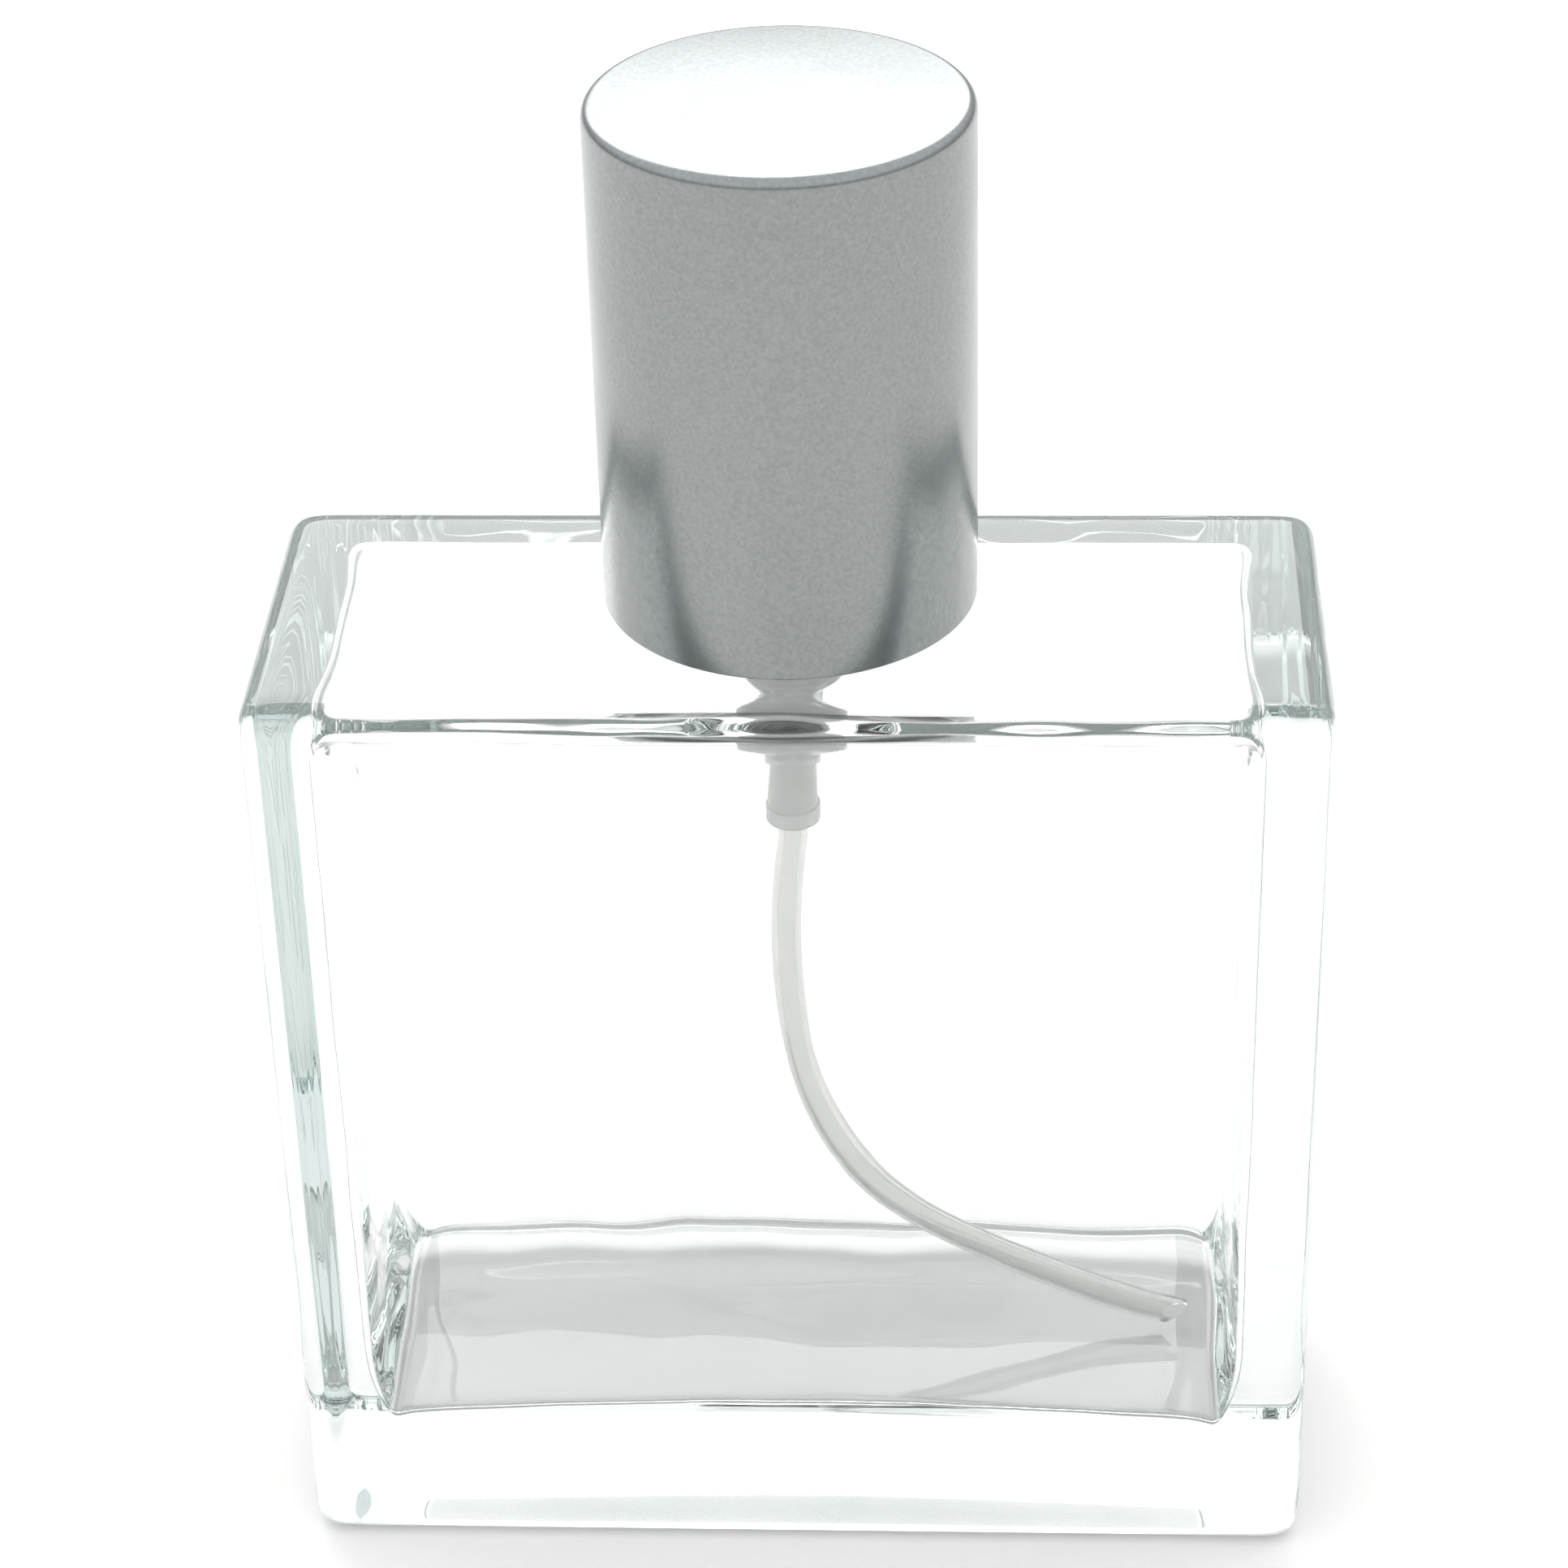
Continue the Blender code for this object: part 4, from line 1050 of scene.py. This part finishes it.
def build_button():
    radius, top, low = button_high.x, button_high.z, button_low.z
    socket_low = low + STEM_SOCKET_RISE
    socket_top = socket_low + STEM_SOCKET_DEPTH
    web = socket_low + WEB_RISE
    height = (insert_low.z + insert_high.z) / 2
    back = -insert_low.y - INSERT_LENGTH
    button = turned(
        "actuator_button_moulded",
        [
            (0, top),
            (radius, top, BUTTON_ROUNDING),
            (radius, low),
            (SKIRT_BORE, low),
            (SKIRT_BORE, web, 3 * SOFT_CORNER),
            (STEM_SOCKET_RADIUS, web, 3 * SOFT_CORNER),
            (STEM_SOCKET_RADIUS, socket_low),
            (STEM_SOCKET_BORE, socket_low),
            (STEM_SOCKET_BORE, socket_top),
            (0, socket_top),
        ],
        SOFT_CORNER,
    )
    cut_round(button, INSERT_RADIUS + FIT_GAP, back - SEAT_GAP, radius + 1 * MM, height)
    fit_out(button, "actuator", "white_acetal", white_acetal, "actuator_button")

    radius, top, low = sleeve_high.x, sleeve_high.z, sleeve_low.z
    bore = radius - SLEEVE_WALL
    sleeve = turned(
        "actuator_sleeve_drawn",
        [
            (0, top),
            (radius, top, BUTTON_ROUNDING),
            (radius, low),
            (bore, low),
            (bore, top - SLEEVE_WALL, BUTTON_ROUNDING - SLEEVE_WALL),
            (0, top - SLEEVE_WALL),
        ],
        SOFT_CORNER,
        SLEEVE_SIDES,
    )
    cut_round(sleeve, INSERT_RADIUS + FIT_GAP, bore - 1 * MM, radius + 1 * MM, height)
    fit_out(sleeve, "actuator", "anodised_aluminium", anodised_aluminium, "actuator_sleeve")

    insert = turned(
        "spray_insert_moulded",
        [
            (ORIFICE_RADIUS, INSERT_LENGTH - ORIFICE_DISH_DEPTH, 0),
            (ORIFICE_DISH_RADIUS, INSERT_LENGTH),
            (INSERT_RING_RADII[0], INSERT_LENGTH),
            (INSERT_RING_RADII[0], INSERT_LENGTH - INSERT_RING_DEPTH),
            (INSERT_RING_RADII[1], INSERT_LENGTH - INSERT_RING_DEPTH),
            (INSERT_RING_RADII[1], INSERT_LENGTH),
            (INSERT_RADIUS, INSERT_LENGTH, 0.15 * MM),
            (INSERT_RADIUS, 0),
            (INSERT_CUP_BORE, 0),
            (INSERT_CUP_BORE, INSERT_LENGTH - INSERT_FACE),
            (ORIFICE_RADIUS, INSERT_LENGTH - INSERT_FACE, 0),
        ],
        INSERT_CORNER,
        SMALL_SIDES,
    )
    insert.rotation_euler.x = math.radians(90)
    insert.location = (0, -back, height)
    bpy.ops.object.transform_apply(location=True, rotation=True, scale=True)
    fit_out(insert, "actuator", "white_acetal", white_acetal, "spray_insert")


build_glass()
build_overcap()
build_collar()
build_neck_fittings()
build_pump()
build_dip_tube()
build_springs()
build_button()

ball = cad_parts["inlet_ball"].data
ball.materials.clear()
ball.materials.append(valve_steel)


# ---------------------------------------------------------------- floor, light and camera

FLOOR_SIZE = 6.0
FLOOR_GAP = 0.02 * MM        # so that the floor and the bottle's rim don't share a plane
SOFTBOX_PLACE = (-0.15, 0.75, 0.6)
SOFTBOX_AIM = (0, 0, 0.1)
SOFTBOX_SIZE = (0.8, 0.5)
SOFTBOX_POWER = 3.2
WALL_LIGHT = 0.42
CEILING_LIGHT = 1.25
LIGHT_BOUNCES = 32


def build_floor():
    floor = new_primitive(bpy.ops.mesh.primitive_plane_add, size=FLOOR_SIZE, location=(0, 0, -FLOOR_GAP))
    floor.name = "studio_floor"
    paper = worked_finish(
        "matt_white_paper", ("#FAFAF9", "#FDFDFC"), (0.85, 0.95), (0.4, 0.4, 0.6 * MM), 0.01 * MM
    )
    floor.data.materials.append(paper)


def add_softbox(name, place, aim, size, power):
    data = bpy.data.lights.new(name, "AREA")
    data.shape = "RECTANGLE"
    data.size, data.size_y = size
    data.energy = power
    light = bpy.data.objects.new(name, data)
    bpy.context.scene.collection.objects.link(light)
    light.location = place
    light.rotation_euler = (Vector(aim) - Vector(place)).to_track_quat("-Z", "Y").to_euler()


def build_light():
    world = bpy.data.worlds.new("studio_air")
    world.use_nodes = True
    tree = world.node_tree
    # The walls of the room are greyer than its ceiling, which draws the edges of the glass.
    direction = add_node(tree, "ShaderNodeTexCoord").outputs["Generated"]
    height = add_node(tree, "ShaderNodeSeparateXYZ", {"Vector": direction}).outputs["Z"]
    strength = add_node(
        tree,
        "ShaderNodeMapRange",
        {"Value": height, "From Min": 0.0, "From Max": 0.5, "To Min": WALL_LIGHT, "To Max": CEILING_LIGHT},
    ).outputs["Result"]
    tree.links.new(strength, tree.nodes["Background"].inputs["Strength"])
    tree.nodes["Background"].inputs["Color"].default_value = linear("#FFFFFF")
    bpy.context.scene.world = world
    add_softbox("softbox_back", SOFTBOX_PLACE, SOFTBOX_AIM, SOFTBOX_SIZE, SOFTBOX_POWER)


CAMERA_AIM = Vector((-0.80, 0, 54.76)) * MM
CAMERA_AZIMUTH = math.radians(3.32)
CAMERA_ELEVATION = math.radians(32.07)
CAMERA_DISTANCE = 294.7 * MM
CAMERA_ROLL = -0.027
CAMERA_LENS = 100.77
SENSOR_WIDTH = 36.0


def build_camera():
    back = Vector(
        (
            math.sin(CAMERA_AZIMUTH) * math.cos(CAMERA_ELEVATION),
            -math.cos(CAMERA_AZIMUTH) * math.cos(CAMERA_ELEVATION),
            math.sin(CAMERA_ELEVATION),
        )
    )
    level_right = Vector((0, 0, 1)).cross(back).normalized()
    level_up = back.cross(level_right)
    right = level_right * math.cos(CAMERA_ROLL) + level_up * math.sin(CAMERA_ROLL)
    up = level_up * math.cos(CAMERA_ROLL) - level_right * math.sin(CAMERA_ROLL)
    data = bpy.data.cameras.new("camera")
    data.lens = CAMERA_LENS
    data.sensor_width = SENSOR_WIDTH
    data.clip_start = 0.01
    camera = bpy.data.objects.new("camera", data)
    bpy.context.scene.collection.objects.link(camera)
    turn = Matrix((right, up, back)).transposed()
    camera.matrix_world = Matrix.Translation(CAMERA_AIM + back * CAMERA_DISTANCE) @ turn.to_4x4()
    bpy.context.scene.camera = camera


build_floor()
build_light()
build_camera()
bpy.context.scene.view_settings.view_transform = "Standard"
# Light crosses many faces of glass, and is turned back inside it many times, before it comes out again.
bpy.context.scene.cycles.max_bounces = LIGHT_BOUNCES
bpy.context.scene.cycles.transmission_bounces = LIGHT_BOUNCES
bpy.context.scene.cycles.glossy_bounces = LIGHT_BOUNCES
